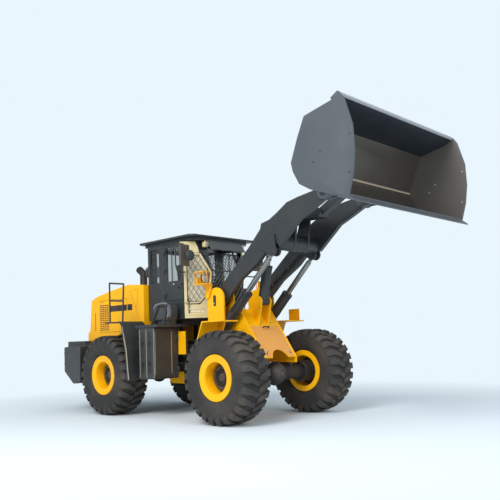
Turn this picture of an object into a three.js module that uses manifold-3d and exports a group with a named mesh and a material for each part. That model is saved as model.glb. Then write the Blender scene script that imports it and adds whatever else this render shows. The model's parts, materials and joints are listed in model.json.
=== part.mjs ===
// Articulated wheel loader: millimetres, +X forward, +Y to the driver's left, +Z up.
// Heights inside the machine group are counted from the axle line, and lengths from the steering hinge.
import * as THREE from 'three';
import { mergeVertices } from 'three/addons/utils/BufferGeometryUtils.js';
import Module from 'manifold-3d';

const wasm = await Module();
wasm.setup();

// ---------- driving dimensions ----------

const FIT = 0.3;                    // gap between pieces that touch or run on each other
const PANEL_GAP = 6;                // gap round doors and covers
const DEG = Math.PI / 180;

// wheels and axles
const TYRE_RADIUS = 770;
const TYRE_WIDTH = 600;
const TYRE_BORE = 322;
const RIM_FLANGE_R = 381;
const RIM_INNER_R = 275;
const HUB_R = 212;
const WHEELBASE = 3200;
const TRACK = 2220;
const WHEEL_SEGMENTS = 24;
const PIN_SIDES = 20;
const BAR_SIDES = 16;
const AXLE_R = 130;
const DRUM_R = 190;
const DIFF_R = 200;
const TRUNNION_R = 90;
const TRUNNION_REACH = 275;
const PROPSHAFT_R = 45;

// frames
const FRAME_HALF = 370;             // half width over the frame rails
const RAIL_THICK = 40;
const RAIL_LOW = 10;
const RAIL_HIGH = 480;
const WEB_X = 350;                  // distance of the cross webs from the steering hinge
const HINGE_HIGH = 580;
const HINGE_LOW = -150;
const HINGE_PIN_R = 50;
const HINGE_EYE_R = 110;
const HINGE_PLATE = 40;
const CROSS_WEB_X = 255;            // rear axle cradle webs, from the axle's centre

// boom tower
const PIVOT_SETBACK = 680;          // boom pivot behind the front axle
const PIVOT_HEIGHT = 1350;
const TOWER_R = 190;
const TOWER_BACK = 220;             // tower's rear face behind the boom pivot
const TOWER_INNER = 380;            // inner tower plate, inner face from the centre plane
const TOWER_PLATE = 35;
const TOWER_OUTER = 660;            // outer tower plate, outer face from the centre plane
const LIFT_BASE = [-120, 650];      // lift cylinder's lower pin: from the boom pivot, height
const TILT_BASE = [520, 1280];      // tilt cylinder's lower pin: from the boom pivot, height

// boom and linkage
const BOOM_LENGTH = 2828;
const BOOM_ANGLE = 31.55;
const ARM_Y = 520;                  // boom arm's mid plane
const ARM_THICK = 80;
const BOOM_PIN_R = 50;
const LIFT_EYE = [1475, -75];       // lift cylinder's upper pin, in the boom's frame
const TORQUE_TUBE = [1575, 42];
const TORQUE_TUBE_R = 140;
const CRANK_PIVOT = [1939, 406];
const CRANK_LONG = [-660, -230];    // tilt cylinder's eye, from the bellcrank's pivot, at rest
const CRANK_SHORT = [470, -60];     // link's pin, from the bellcrank's pivot, at rest
const LINK_TOP = [51, 183];         // link's pin on the bucket, in the bucket's frame
const CRANK_GAP = 105;              // half gap between the bellcrank's two plates
const CRANK_PLATE = 35;
const LINK_PIN_R = 45;
const CRANK_PIN_R = 55;

// bucket
const BUCKET_WIDTH = 3160;
const BUCKET_SKIN = 28;
const BUCKET_TIP_DOWN = 19.3;
const BUCKET_EAR_R = 110;

// cylinders
const LIFT_BARREL_R = 95;
const LIFT_ROD_R = 48;
const LIFT_BARREL = 1090;
const TILT_BARREL_R = 90;
const TILT_ROD_R = 45;
const TILT_BARREL = 640;
const STEER_BARREL_R = 50;
const STEER_ROD_R = 25;
const STEER_BARREL = 880;
const STEER_BASE = [-1000, 470];
const STEER_EYE = [400, 480];
const STEER_FORK = 24;              // thickness of the steering cylinders' fork plates
const STEER_HEIGHT = 230;
const STEER_PIN_R = 22;
const STEER_FORK_GAP = STEER_BARREL_R + 6;

// cab
const CAB_HALF = 750;
const CAB_REAR = -900;
const CAB_CORNER_X = 170;           // where the slanted front quarter starts
const CAB_FRONT_HALF = 400;
const CAB_FLOOR = 1020;
const CAB_FLOOR_THICK = 50;
const CAB_TOP = 2450;
const CAB_WALL = 45;
const ROOF_THICK = 100;
const ROOF_HALF = CAB_HALF + 15;
const DOOR_X = [-390, 150];
const DOOR_TOP = 2430;
const DOOR_SILL_LEFT = 1090;
const DOOR_SILL_RIGHT = 1370;
const SIDE_GLASS_SILL = 1740;
const SIDE_CUT = [CAB_HALF - 100, CAB_HALF + 50];        // opens the whole thickness of a side wall
const GLASS_THICK = 6;

// hood, fenders and side boxes
const HOOD_HALF = 850;
const HOOD_SKIN = 30;
const HOOD_FRONT = -930;
const HOOD_BOTTOM = 575;
const HOOD_DOOR_Z = [845, 1510];
const ARCH_R = 800;                 // hood's cut-out over the rear tyres
const FENDER_OUT = 1400;
const FENDER_TOP = 1020;
const FENDER_SKIN = 22;
const BOX_X = [-560, -110];
const BOX_Y = [700, 1250];
const BOX_Z = [-60, 870];
const BOX_SKIN = 20;
const DECK_Z = [880, 930];
const KNUCKLE_R = 13;
const RAIL_TUBE_R = 17;

const FRONT_X = WHEELBASE / 2;
const REAR_X = -WHEELBASE / 2;
const TYRE_Y = TRACK / 2;
const PIVOT_X = FRONT_X - PIVOT_SETBACK;
const AXLE_END = TYRE_Y - 225 - FIT;
const WEIGHT_FRONT = REAR_X - 860;  // counterweight's front face
const HOOD_BACK_LOW = WEIGHT_FRONT - 370;
const HOOD_BACK_TOP = WEIGHT_FRONT - 300;
const HOOD_FOOT = HOOD_BACK_LOW - 80;

// ---------- materials ----------

const paint = (color, roughness = 0.45, metalness = 0) =>
  new THREE.MeshStandardMaterial({ color, roughness, metalness });
const YELLOW = () => paint(0xf2b400, 0.4);
const DARK = () => paint(0x53595e, 0.5);
const BLACK = () => paint(0x26282a, 0.6);
const CHROME = () => paint(0xd8dadc, 0.15, 1);
const TYRE = () => paint(0x3b3a38, 0.9);
const GLASS = () => paint(0x7f8f92, 0.1);

// ---------- solids ----------

const toSolid = (geometry) => {
  const bare = geometry.index ? geometry : geometry.clone();
  bare.deleteAttribute('normal');
  bare.deleteAttribute('uv');
  const merged = mergeVertices(bare, 0.001);
  return new wasm.Manifold(new wasm.Mesh({
    numProp: 3,
    vertProperties: new Float32Array(merged.attributes.position.array),
    triVerts: new Uint32Array(merged.index.array),
  }));
};

const join = (...solids) => solids.flat(3).reduce((sum, next) => sum.add(next));

const cut = (solid, ...tools) => tools.flat(3).reduce((rest, tool) => rest.subtract(tool), solid);

const box = (x, y, z) => {
  const [[x0, x1], [y0, y1], [z0, z1]] = [x, y, z].map((pair) => [Math.min(...pair), Math.max(...pair)]);
  const geometry = new THREE.BoxGeometry(x1 - x0, y1 - y0, z1 - z0);
  geometry.translate((x0 + x1) / 2, (y0 + y1) / 2, (z0 + z1) / 2);
  return toSolid(geometry);
};

const extrude = (outline, depth) => {
  const shape = new THREE.Shape(outline.map(([a, b]) => new THREE.Vector2(a, b)));
  return new THREE.ExtrudeGeometry(shape, { depth, bevelEnabled: false });
};

// an outline in X and Z, carried from y0 to y1
const slab = (outline, y0, y1) => {
  const geometry = extrude(outline, Math.abs(y1 - y0));
  geometry.rotateX(Math.PI / 2);
  geometry.translate(0, Math.max(y0, y1), 0);
  return toSolid(geometry);
};

// an outline in X and Y, carried from z0 to z1
const plate = (outline, z0, z1) => {
  const geometry = extrude(outline, z1 - z0);
  geometry.translate(0, 0, z0);
  return toSolid(geometry);
};

// a round bar between two points
const bar = (from, to, radius, sides = BAR_SIDES) => {
  const a = new THREE.Vector3(...from);
  const b = new THREE.Vector3(...to);
  const geometry = new THREE.CylinderGeometry(radius, radius, a.distanceTo(b), sides);
  const turn = new THREE.Quaternion().setFromUnitVectors(
    new THREE.Vector3(0, 1, 0), b.clone().sub(a).normalize());
  geometry.applyQuaternion(turn);
  geometry.translate(...a.add(b).multiplyScalar(0.5).toArray());
  return toSolid(geometry);
};

// a bore's flats stay clear of a round pin's corners at any angle between the two
const boreRadius = (pinRadius) => (pinRadius + FIT) / Math.cos(Math.PI / PIN_SIDES);

// a pin or bore along Y at a point of the X-Z plane
const pin = ([x, z], radius, y0, y1, sides = PIN_SIDES) => bar([x, y0, z], [x, y1, z], radius, sides);

const ball = ([x, y, z], radius) => {
  const geometry = new THREE.SphereGeometry(radius, 12, 8);
  geometry.translate(x, y, z);
  return toSolid(geometry);
};

// a bent tube: straight runs with round corners
const tube = (points, radius) => join(
  points.slice(1).map((point, i) => bar(points[i], point, radius, 6)),
  points.slice(1, -1).map((point) => {
    const geometry = new THREE.SphereGeometry(radius, 6, 4);
    geometry.translate(...point);
    return toSolid(geometry);
  }),
);

// a solid of revolution about Y from a closed profile of [radius, y]
const turned = (profile, segments = WHEEL_SEGMENTS) => {
  const loop = [...profile, profile[0]].map(([r, y]) => new THREE.Vector2(r, y));
  return toSolid(new THREE.LatheGeometry(loop, segments));
};

const arc = ([cx, cz], radius, from, to, steps) => Array.from({ length: steps + 1 }, (_, i) => {
  const angle = (from + (to - from) * i / steps) * DEG;
  return [cx + radius * Math.cos(angle), cz + radius * Math.sin(angle)];
});

// outline of a lever with two round ends
const lever = ([ax, az], ra, [bx, bz], rb) => {
  const heading = Math.atan2(bz - az, bx - ax) / DEG;
  const lean = Math.acos((ra - rb) / Math.hypot(bx - ax, bz - az)) / DEG;
  return [
    ...arc([bx, bz], rb, heading - lean, heading + lean, 8),
    ...arc([ax, az], ra, heading + lean, heading + 360 - lean, 8),
  ];
};

// a path moved sideways to its left by a distance
const offsetPath = (path, distance) => {
  const edges = path.slice(1).map(([x, z], i) => {
    const [px, pz] = path[i];
    const length = Math.hypot(x - px, z - pz);
    return { p: [px, pz], d: [(x - px) / length, (z - pz) / length] };
  });
  const shifted = edges.map(({ p, d }) => ({ p: [p[0] - d[1] * distance, p[1] + d[0] * distance], d }));
  const corner = (a, b) => {
    const cross = a.d[0] * b.d[1] - a.d[1] * b.d[0];
    const t = ((b.p[0] - a.p[0]) * b.d[1] - (b.p[1] - a.p[1]) * b.d[0]) / cross;
    return [a.p[0] + a.d[0] * t, a.p[1] + a.d[1] * t];
  };
  const last = path.at(-1);
  const end = shifted.at(-1);
  return [
    shifted[0].p,
    ...shifted.slice(1).map((edge, i) => corner(shifted[i], edge)),
    [last[0] - end.d[1] * distance, last[1] + end.d[0] * distance],
  ];
};

// ---------- scene graph ----------

const machine = new THREE.Group();
machine.position.z = TYRE_RADIUS;

const groupAt = (parent, x, y, z) => {
  const group = new THREE.Group();
  group.position.set(x, y, z);
  parent.add(group);
  return group;
};

const add = (name, solid, material, parent = machine) => {
  const { vertProperties, triVerts } = solid.getMesh();
  const geometry = new THREE.BufferGeometry();
  geometry.setAttribute('position', new THREE.BufferAttribute(vertProperties, 3));
  geometry.setIndex(new THREE.BufferAttribute(triVerts, 1));
  const mesh = new THREE.Mesh(geometry, material);
  mesh.name = name;
  parent.add(mesh);
  return mesh;
};

const SIDES = [['right', -1], ['left', 1]];

// A hinge of knuckles outside a panel's face. The axis runs along `axis` through `centre`, [start, end]
// spans belong to the door or to its frame, and each knuckle has a leaf that reaches into its own panel.
const hinge = (axis, centre, spans, leaf) => spans.map(([start, end]) => {
  const point = (t) => (axis === 'z' ? [centre[0], centre[1], t] : [t, centre[0], centre[1]]);
  const flap = axis === 'z' ? box(leaf[0], leaf[1], [start, end]) : box([start, end], leaf[0], leaf[1]);
  return join(bar(point(start), point(end), KNUCKLE_R, 8), flap);
});

// ---------- wheels ----------

const tyreProfile = () => {
  const half = TYRE_WIDTH / 2;
  const bead = half - 62;
  const shoulder = TYRE_RADIUS - 25;
  const side = [
    [TYRE_BORE, bead], [TYRE_BORE + 62, bead], [TYRE_BORE + 108, half - 15], [TYRE_BORE + 238, half],
    [TYRE_RADIUS - 70, half - 15], [shoulder, half - 45], [TYRE_RADIUS, half - 100],
  ];
  return [...side, ...side.map(([r, w]) => [r, -w]).reverse()];
};

const rimProfile = (side) => {
  const bead = TYRE_WIDTH / 2 - 62 + FIT;
  const seat = TYRE_BORE - FIT;
  return [
    [RIM_FLANGE_R, bead + 26], [RIM_INNER_R, bead + 26], [RIM_INNER_R, -50], [HUB_R, -50], [HUB_R, 30],
    [0, 30], [0, -225], [HUB_R, -225], [HUB_R, -70], [RIM_INNER_R, -70],
    [RIM_INNER_R, -bead - 26], [RIM_FLANGE_R, -bead - 26], [RIM_FLANGE_R, -bead], [seat, -bead],
    [seat, bead], [RIM_FLANGE_R, bead],
  ].map(([r, w]) => [r, w * side]);
};

const turnedRight = (profile) => {
  const area = profile.reduce((sum, [r, w], i) => {
    const [nr, nw] = profile[(i + 1) % profile.length];
    return sum + r * nw - nr * w;
  }, 0);
  return turned(area > 0 ? profile : [...profile].reverse());
};

for (const [end, x] of [['front', FRONT_X], ['rear', REAR_X]]) {
  for (const [side, s] of SIDES) {
    const wheel = groupAt(machine, x, s * TYRE_Y, 0);
    add(`tyre_${end}_${side}`, turnedRight(tyreProfile()), TYRE(), wheel);
    add(`wheel_rim_${end}_${side}`, turnedRight(rimProfile(s)), YELLOW(), wheel);
  }
}

// ---------- axles and drive shafts ----------

const axle = (x, shaftDirection, diffShift) => join(
  bar([x, -700, 0], [x, 700, 0], AXLE_R),
  SIDES.map(([, s]) => bar([x, s * 700, 0], [x, s * AXLE_END, 0], DRUM_R)),
  ball([x + diffShift[0], 0, diffShift[1]], DIFF_R),
  bar([x, 0, 0], [x + shaftDirection * TRUNNION_REACH, 0, 0], TRUNNION_R),
);

add('front_axle', join(
  axle(FRONT_X, -1, [80, 0]),
  SIDES.map(([, s]) => box([FRONT_X - 100, FRONT_X + 100],
    [s * (TOWER_INNER - 10), s * (TOWER_INNER + TOWER_PLATE + 10)], [0, 180 - FIT])),
), DARK());

add('rear_axle', join(
  axle(REAR_X, 1, [0, 0]),
  bar([REAR_X, 0, 0], [REAR_X - TRUNNION_REACH, 0, 0], TRUNNION_R),
), DARK());

for (const [end, x, s] of [['front', FRONT_X, 1], ['rear', REAR_X, -1]]) {
  const reach = Math.abs(x) - TRUNNION_REACH - FIT;
  add(`drive_shaft_${end}`, join(
    bar([s * 80, 0, 0], [s * (reach - 5), 0, 0], PROPSHAFT_R, 16),
    bar([s * 70, 0, 0], [s * 110, 0, 0], 70, 16),
    bar([s * (reach - 30), 0, 0], [s * reach, 0, 0], 75, 16),
  ), BLACK());
}

// ---------- rear frame ----------

const hingePlate = (s, low, high) => plate([
  ...arc([0, 0], HINGE_EYE_R, s > 0 ? 90 : -90, s > 0 ? 270 : 90, 10),
  [s * (WEB_X + 10), -s * FRAME_HALF], [s * (WEB_X + 10), s * FRAME_HALF],
], low, high);

const hingeBore = (level) =>
  bar([0, 0, level - 90], [0, 0, level + 90], boreRadius(HINGE_PIN_R), PIN_SIDES);

const hingeForks = (level) => {
  const inner = HINGE_PLATE / 2 + PANEL_GAP;
  const outer = inner + 32;
  return [
    hingePlate(-1, level + inner, level + outer),
    hingePlate(-1, level - outer, level - inner),
    bar([0, 0, level - outer], [0, 0, level + outer], HINGE_PIN_R, PIN_SIDES),
  ];
};

const crossWeb = (x, thick, z0, z1) =>
  box([x - thick / 2, x + thick / 2], [-FRAME_HALF, FRAME_HALF], [z0, z1]);

const frameBack = WEIGHT_FRONT + FIT;

const rearFrame = () => {
  const rails = SIDES.map(([, s]) => cut(
    box([frameBack, -WEB_X], [s * (FRAME_HALF - RAIL_THICK), s * FRAME_HALF], [RAIL_LOW, RAIL_HIGH]),
    box([REAR_X - 220, REAR_X + 220], [s * 200, s * 400], [-50, 160]),
  ));
  const cradle = [-1, 1].map((s) => crossWeb(REAR_X + s * CROSS_WEB_X, 30, -140, RAIL_HIGH));
  const frontWeb = cut(
    crossWeb(-WEB_X - 20, 40, HINGE_LOW - 58, HINGE_HIGH + 58),
    bar([-WEB_X - 100, 0, 0], [-WEB_X + 100, 0, 0], 120, 20),
  );
  const beamTop = CAB_FLOOR - FIT;
  const posts = [CAB_REAR + 100, -400].flatMap((x) => SIDES.map(([, s]) =>
    box([x - 50, x + 50], [s * (FRAME_HALF - RAIL_THICK), s * FRAME_HALF], [RAIL_HIGH - 10, beamTop])));
  const outriggers = [
    box([CAB_REAR + 50, CAB_REAR + 150], [-CAB_HALF + 40, CAB_HALF - 40], [beamTop - 90, beamTop]),
    box([-450, -350], [-FRAME_HALF, FRAME_HALF], [beamTop - 90, beamTop]),
  ];
  const boxArms = SIDES.map(([, s]) =>
    box([BOX_X[0] + 60, BOX_X[0] + 160], [s * (FRAME_HALF - 5), s * (BOX_Y[0] - FIT)], [330, 440]));
  const steerBrackets = SIDES.map(([, s]) => join(
    [-1, 1].map((v) => box(
      [STEER_BASE[0] - 60, STEER_BASE[0] + 40], [s * (FRAME_HALF - 5), s * (STEER_BASE[1] + 50)],
      [STEER_HEIGHT + v * STEER_FORK_GAP, STEER_HEIGHT + v * (STEER_FORK_GAP + STEER_FORK)],
    )),
    bar([STEER_BASE[0], s * STEER_BASE[1], STEER_HEIGHT - STEER_FORK_GAP - 5],
      [STEER_BASE[0], s * STEER_BASE[1], STEER_HEIGHT + STEER_FORK_GAP + 5], STEER_PIN_R, PIN_SIDES),
  ));
  // the steering cylinders swing in through the frame's sides
  const steerWindows = SIDES.map(([, s]) => box([-780, -WEB_X + 10], [s * 280, s * (FRAME_HALF + 5)],
    [STEER_HEIGHT - STEER_BARREL_R - 12, STEER_HEIGHT + STEER_BARREL_R + 12]));
  return cut(
    join(cradle, cut(join(frontWeb, rails), steerWindows), posts, outriggers, boxArms, steerBrackets,
      hingeForks(HINGE_HIGH), hingeForks(HINGE_LOW)),
    bar([REAR_X - 400, 0, 0], [REAR_X + 400, 0, 0], TRUNNION_R + FIT),
  );
};

add('rear_frame', rearFrame(), DARK());

add('engine_block', box([REAR_X - 750, REAR_X + 250], [-360, 360], [RAIL_HIGH + FIT, 1330]), BLACK());
add('transmission', box([-950, -540],
  [-FRAME_HALF + RAIL_THICK + FIT, FRAME_HALF - RAIL_THICK - FIT], [80, 470]), BLACK());

// ---------- counterweight ----------

const counterweight = () => {
  const back = WEIGHT_FRONT - 1190;
  const sideView = slab([
    [WEIGHT_FRONT, HOOD_BOTTOM - FIT], [HOOD_FOOT - 10, HOOD_BOTTOM - FIT], [back + 100, 530],
    [back, 430], [back + 30, 370],
    [back + 880, -190], [back + 1020, -185], [WEIGHT_FRONT, -170],
  ], -1400, 1400);
  const topView = plate([
    [WEIGHT_FRONT, 1340], [back + 520, 1300], [back + 290, 1150], [back, 1000], [back, -1000],
    [back + 290, -1150], [back + 520, -1300], [WEIGHT_FRONT, -1340],
  ], -300, 700);
  const lampBoxes = SIDES.map(([, s]) =>
    box([back + 330, back + 980], [s * 900, s * 1100], [540, 680]));
  return join(sideView.intersect(topView), lampBoxes);
};

add('counterweight', counterweight(), DARK());

// ---------- hood ----------

const HOOD_CREST = [REAR_X + 160, 1770];
const HOOD_KINK = REAR_X - 430;     // where the hood's top turns down
const HOOD_TAIL = [REAR_X - 1000, 1590];
const hoodOutline = [
  [HOOD_FRONT, HOOD_BOTTOM], [HOOD_FRONT, 1730], HOOD_CREST, [HOOD_KINK, 1690],
  HOOD_TAIL, [HOOD_BACK_TOP, 1520], [HOOD_BACK_LOW, 890], [HOOD_BACK_LOW - 70, 850],
  [HOOD_FOOT, HOOD_BOTTOM],
];
const HOOD_DOOR_X = [REAR_X - 880, REAR_X + 120];
const GRILLE_HALF = 620;
const GRILLE_Z = [900, 1480];
const hoodHingeZ = HOOD_DOOR_Z[1] - 2;

const hoodInside = () => {
  const path = offsetPath(hoodOutline.slice(1), HOOD_SKIN);
  return slab([
    [HOOD_FRONT - HOOD_SKIN, HOOD_BOTTOM - 50], [HOOD_FRONT - HOOD_SKIN, path[0][1]],
    ...path.slice(1), [path.at(-1)[0], HOOD_BOTTOM - 50],
  ], -HOOD_HALF + HOOD_SKIN, HOOD_HALF - HOOD_SKIN);
};

const hoodKnuckles = (s, door) => {
  const spans = [0.12, 0.82].flatMap((share) => {
    const start = HOOD_DOOR_X[0] + share * (HOOD_DOOR_X[1] - HOOD_DOOR_X[0]);
    return door ? [[start + FIT / 2, start + 60]] : [[start - 60, start - FIT / 2]];
  });
  const y = s * (HOOD_HALF + KNUCKLE_R + 2);
  const leaf = [
    [s * (HOOD_HALF - 2), y],
    door ? [hoodHingeZ - 40, hoodHingeZ] : [hoodHingeZ, hoodHingeZ + 40],
  ];
  return hinge('x', [y, hoodHingeZ], spans, leaf);
};

const grilleKnuckles = (door) => {
  const x = HOOD_BACK_LOW - KNUCKLE_R - 2;
  const y = -GRILLE_HALF + 1;
  const spans = [GRILLE_Z[0] + 60, GRILLE_Z[1] - 60].map((z) =>
    (door ? [z + FIT / 2, z + 50] : [z - 50, z - FIT / 2]));
  const leaf = [[x, HOOD_BACK_TOP + 5], door ? [y, y + 40] : [y - 40, y]];
  return hinge('z', [x, y], spans, leaf);
};

const hoodShell = () => {
  const doorways = SIDES.map(([, s]) =>
    box(HOOD_DOOR_X, [s * (HOOD_HALF - HOOD_SKIN - 5), s * (HOOD_HALF + 5)], HOOD_DOOR_Z));
  const grilleHole = box([HOOD_BACK_LOW - 50, HOOD_BACK_TOP + 100], [-GRILLE_HALF, GRILLE_HALF], GRILLE_Z);
  const arches = bar([REAR_X, -1000, 0], [REAR_X, 1000, 0], ARCH_R, 40);
  const shell = cut(slab(hoodOutline, -HOOD_HALF, HOOD_HALF), hoodInside(), doorways, grilleHole, arches);
  return join(shell, SIDES.map(([, s]) => hoodKnuckles(s, false)), grilleKnuckles(false));
};

add('hood', hoodShell(), YELLOW());

for (const [side, s] of SIDES) {
  const panel = box(
    [HOOD_DOOR_X[0] + PANEL_GAP, HOOD_DOOR_X[1] - PANEL_GAP],
    [s * (HOOD_HALF - HOOD_SKIN), s * HOOD_HALF],
    [HOOD_DOOR_Z[0] + PANEL_GAP, HOOD_DOOR_Z[1] - PANEL_GAP],
  );
  add(`hood_door_${side}`, join(panel, hoodKnuckles(s, true)), YELLOW());
}

const grilleDoor = () => {
  const lean = (z) => HOOD_BACK_LOW + (HOOD_BACK_TOP - HOOD_BACK_LOW) * (z - 890) / (1520 - 890);
  const [z0, z1] = [GRILLE_Z[0] + PANEL_GAP, GRILLE_Z[1] - PANEL_GAP];
  const panel = slab([
    [lean(z0), z0], [lean(z0) + 40, z0], [lean(z1) + 40, z1], [lean(z1), z1],
  ].reverse(), -GRILLE_HALF + PANEL_GAP, GRILLE_HALF - PANEL_GAP);
  return join(panel, grilleKnuckles(true));
};

add('radiator_grille', grilleDoor(), DARK());

const hoodTop = (x) => {
  const [a, b] = x > HOOD_KINK ? [HOOD_CREST, [HOOD_KINK, 1690]] : [[HOOD_KINK, 1690], HOOD_TAIL];
  return a[1] + (b[1] - a[1]) * (x - a[0]) / (b[0] - a[0]);
};

// what lies under the hood's sloping top, over a run of x values
const belowHoodTop = (run) => slab([
  [run[0], 1000], [run.at(-1), 1000], ...run.map((x) => [x, hoodTop(x) + FIT]).reverse(),
], -400, 400);

const exhaust = () => {
  const x = REAR_X - 450;
  const foot = plate(arc([x, 0], 110, 0, 350, 15), hoodTop(x - 110), hoodTop(x - 110) + 60);
  const bend = hoodTop(x) + 400;
  const pipe = join(
    foot,
    bar([x, 0, hoodTop(x) + 20], [x, 0, bend], 78, 20),
    ball([x, 0, bend], 78),
    bar([x, 0, bend], [x - 150, 0, bend + 105], 78, 20),
  );
  const mouth = bar([x - 60, 0, bend + 42], [x - 300, 0, bend + 210], 70, 16);
  return cut(pipe, mouth, belowHoodTop([x - 400, HOOD_KINK, x + 400]));
};

// a solid of revolution about an upright line, from a profile of [radius, z]
const turnedUp = (profile, x) => {
  const geometry = new THREE.LatheGeometry(profile.map(([r, z]) => new THREE.Vector2(r, z)), 28);
  geometry.rotateX(Math.PI / 2);
  geometry.translate(x, 0, 0);
  return toSolid(geometry);
};

const preCleaner = () => {
  const x = REAR_X - 110;
  return cut(join(
    bar([x, 0, hoodTop(x) - 40], [x, 0, 2000], 70, 20),
    turnedUp([[0, 1980], [120, 1980], [160, 2010], [160, 2150], [130, 2195], [60, 2212], [0, 2212]], x),
  ), belowHoodTop([HOOD_KINK + 10, REAR_X + 150]));
};

add('exhaust_stack', exhaust(), DARK());
add('air_precleaner', preCleaner(), BLACK());

// ---------- rear fenders, side boxes, ladder ----------

const fender = (s) => {
  const front = REAR_X + 650;
  const path = [
    [REAR_X + 150, FENDER_TOP], [front - 20, FENDER_TOP], [front + 50, FENDER_TOP - 70],
    [REAR_X + 810, 480], [REAR_X + 870, -90],
  ];
  const under = offsetPath(path, -FENDER_SKIN);
  const skin = slab([...path, ...under.reverse()].reverse(), s * (HOOD_HALF + FIT), s * FENDER_OUT);
  const gusset = slab([
    [REAR_X + 160, FENDER_TOP - 5], ...arc([REAR_X, 0], TYRE_RADIUS + 200, 78, 42, 8),
    [REAR_X + 760, 649], [front + 38, FENDER_TOP - 75], [front - 30, FENDER_TOP - 5],
  ].reverse(), s * (HOOD_HALF + FIT), s * (HOOD_HALF + 20));
  return join(skin, gusset);
};

const fenderRail = (s) => {
  const y = s * 1300;
  const foot = FENDER_TOP - 10;
  const [x0, x1] = [REAR_X + 185, REAR_X + 600];
  return join(
    tube([[x0, y, foot], [x0, y, foot + 770], [x1 + 50, y, foot + 720], [x1, y, foot]], RAIL_TUBE_R),
    tube([[x0, y, foot + 430], [x1 + 25, y, foot + 400]], RAIL_TUBE_R),
  );
};

for (const [side, s] of SIDES) {
  add(`rear_fender_${side}`, join(fender(s), fenderRail(s)), DARK());
}

const boxDoorHinge = [BOX_X[1] + KNUCKLE_R + 2, -BOX_Y[0] - 4];

const boxKnuckles = (door) => {
  const spans = [BOX_Z[0] + 150, BOX_Z[1] - 200].map((z) =>
    (door ? [z + FIT / 2, z + 60] : [z - 60, z - FIT / 2]));
  const [x, y] = boxDoorHinge;
  const leaf = [[BOX_X[1] - 3, x], door ? [y - 40, y] : [y, -BOX_Y[0] + 18]];
  return hinge('z', boxDoorHinge, spans, leaf);
};

const sideBox = () => {
  const [x0, x1] = BOX_X;
  const [y0, y1] = [-BOX_Y[1], -BOX_Y[0]];
  const insideZ = [BOX_Z[0] + BOX_SKIN, BOX_Z[1] - BOX_SKIN];
  const shell = cut(
    box([x0, x1], [y0, y1], BOX_Z),
    box([x0 + BOX_SKIN, x1 + 10], [y0 + BOX_SKIN, y1 - BOX_SKIN], insideZ),
    box([x1 - 30, x1 + 10], [y0 - 5, y1 - 2], insideZ),
  );
  const deck = box([x0 - 120, 0], [-BOX_Y[1], -510], [DECK_Z[0], DECK_Z[1]]);
  const riser = box([x0 + 40, x1 - 60], [y0 + 60, y1 - 40], [BOX_Z[1] - 5, DECK_Z[0] + 5]);
  const rib = box([x1 - 160, 120], [-BOX_Y[0] - 1, -BOX_Y[0] + 45], [STEER_HEIGHT + 130, 800]);
  const ribNotch = box([x1 - 1, 200], [-BOX_Y[0] - 2, -BOX_Y[0] + 15], [-100, 900]);
  const rail = tube([
    [-400, -1080, DECK_Z[1] - 10], [-180, -1080, 1280], [60, -1080, 1270], [-60, -1080, DECK_Z[1] - 10],
  ], RAIL_TUBE_R);
  return join(shell, deck, riser, cut(rib, ribNotch), rail, boxKnuckles(false));
};

add('side_box_right', sideBox(), DARK());

const boxDoor = () => join(
  box([BOX_X[1] - 25, BOX_X[1]], [-BOX_Y[1], -BOX_Y[0] - PANEL_GAP],
    [BOX_Z[0] + BOX_SKIN + PANEL_GAP, BOX_Z[1] - BOX_SKIN - PANEL_GAP]),
  boxKnuckles(true),
);

add('side_box_door', boxDoor(), DARK());

const ladder = () => {
  const tank = box([BOX_X[0] - 120, BOX_X[1]], [BOX_Y[0], BOX_Y[0] + 180], BOX_Z);
  const y = [BOX_Y[0] + 175, BOX_Y[1]];
  const cheeks = [BOX_X[0] - 120, BOX_X[1] - 30].map((x) => box([x, x + 30], y, [-200, DECK_Z[1]]));
  const treads = [-190, 160, 510].map((z) =>
    box([BOX_X[0] - 120, BOX_X[1]], [BOX_Y[0] + 230, BOX_Y[1]], [z, z + 30]));
  const deck = box([BOX_X[0] - 120, 0], [510, BOX_Y[1]], DECK_Z);
  return join(tank, cheeks, treads, deck);
};

add('fuel_tank_ladder', ladder(), DARK());

// ---------- cab ----------

const cabProfile = [
  [460, CAB_FLOOR], [500, 1510], [540, 1890], [370, 2250], [330, CAB_TOP],
];
const QUARTER_FRONT = 500;
const quarterAngle = Math.atan2(CAB_FRONT_HALF - CAB_HALF, QUARTER_FRONT - CAB_CORNER_X);

const cornerCut = (s, inset) => {
  const normal = [-Math.sin(quarterAngle), Math.cos(quarterAngle)];
  const line = [[CAB_CORNER_X, CAB_HALF], [QUARTER_FRONT, CAB_FRONT_HALF]]
    .map(([x, y]) => [x - normal[0] * inset, y - normal[1] * inset]);
  const along = [Math.cos(quarterAngle), Math.sin(quarterAngle)];
  const points = [
    [line[0][0] - along[0] * 300, line[0][1] - along[1] * 300],
    [line[1][0] + along[0] * 600, line[1][1] + along[1] * 600],
  ];
  const outer = points.map(([x, y]) => [x + normal[0] * 1500, y + normal[1] * 1500]);
  const outline = [points[0], points[1], outer[1], outer[0]].map(([x, y]) => [x, s * y]);
  return plate(s > 0 ? outline : outline.reverse(), CAB_FLOOR - 50, CAB_TOP + 50);
};

const cabVolume = (inset) => {
  const front = offsetPath(cabProfile, inset);
  const outline = [
    [CAB_REAR + inset, CAB_FLOOR + (inset ? CAB_FLOOR_THICK : 0)],
    [front[0][0], CAB_FLOOR + (inset ? CAB_FLOOR_THICK : 0)],
    ...front.slice(1, -1), [front.at(-1)[0], CAB_TOP - inset], [CAB_REAR + inset, CAB_TOP - inset],
  ];
  return cut(slab(outline, -CAB_HALF + inset, CAB_HALF - inset), SIDES.map(([, s]) => cornerCut(s, inset)));
};

const WINDSCREEN_Z = [1230, 2330];
const WINDSCREEN_HALF = 355;
const REAR_GLASS = { y: 560, z: [1740, 2350] };

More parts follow.
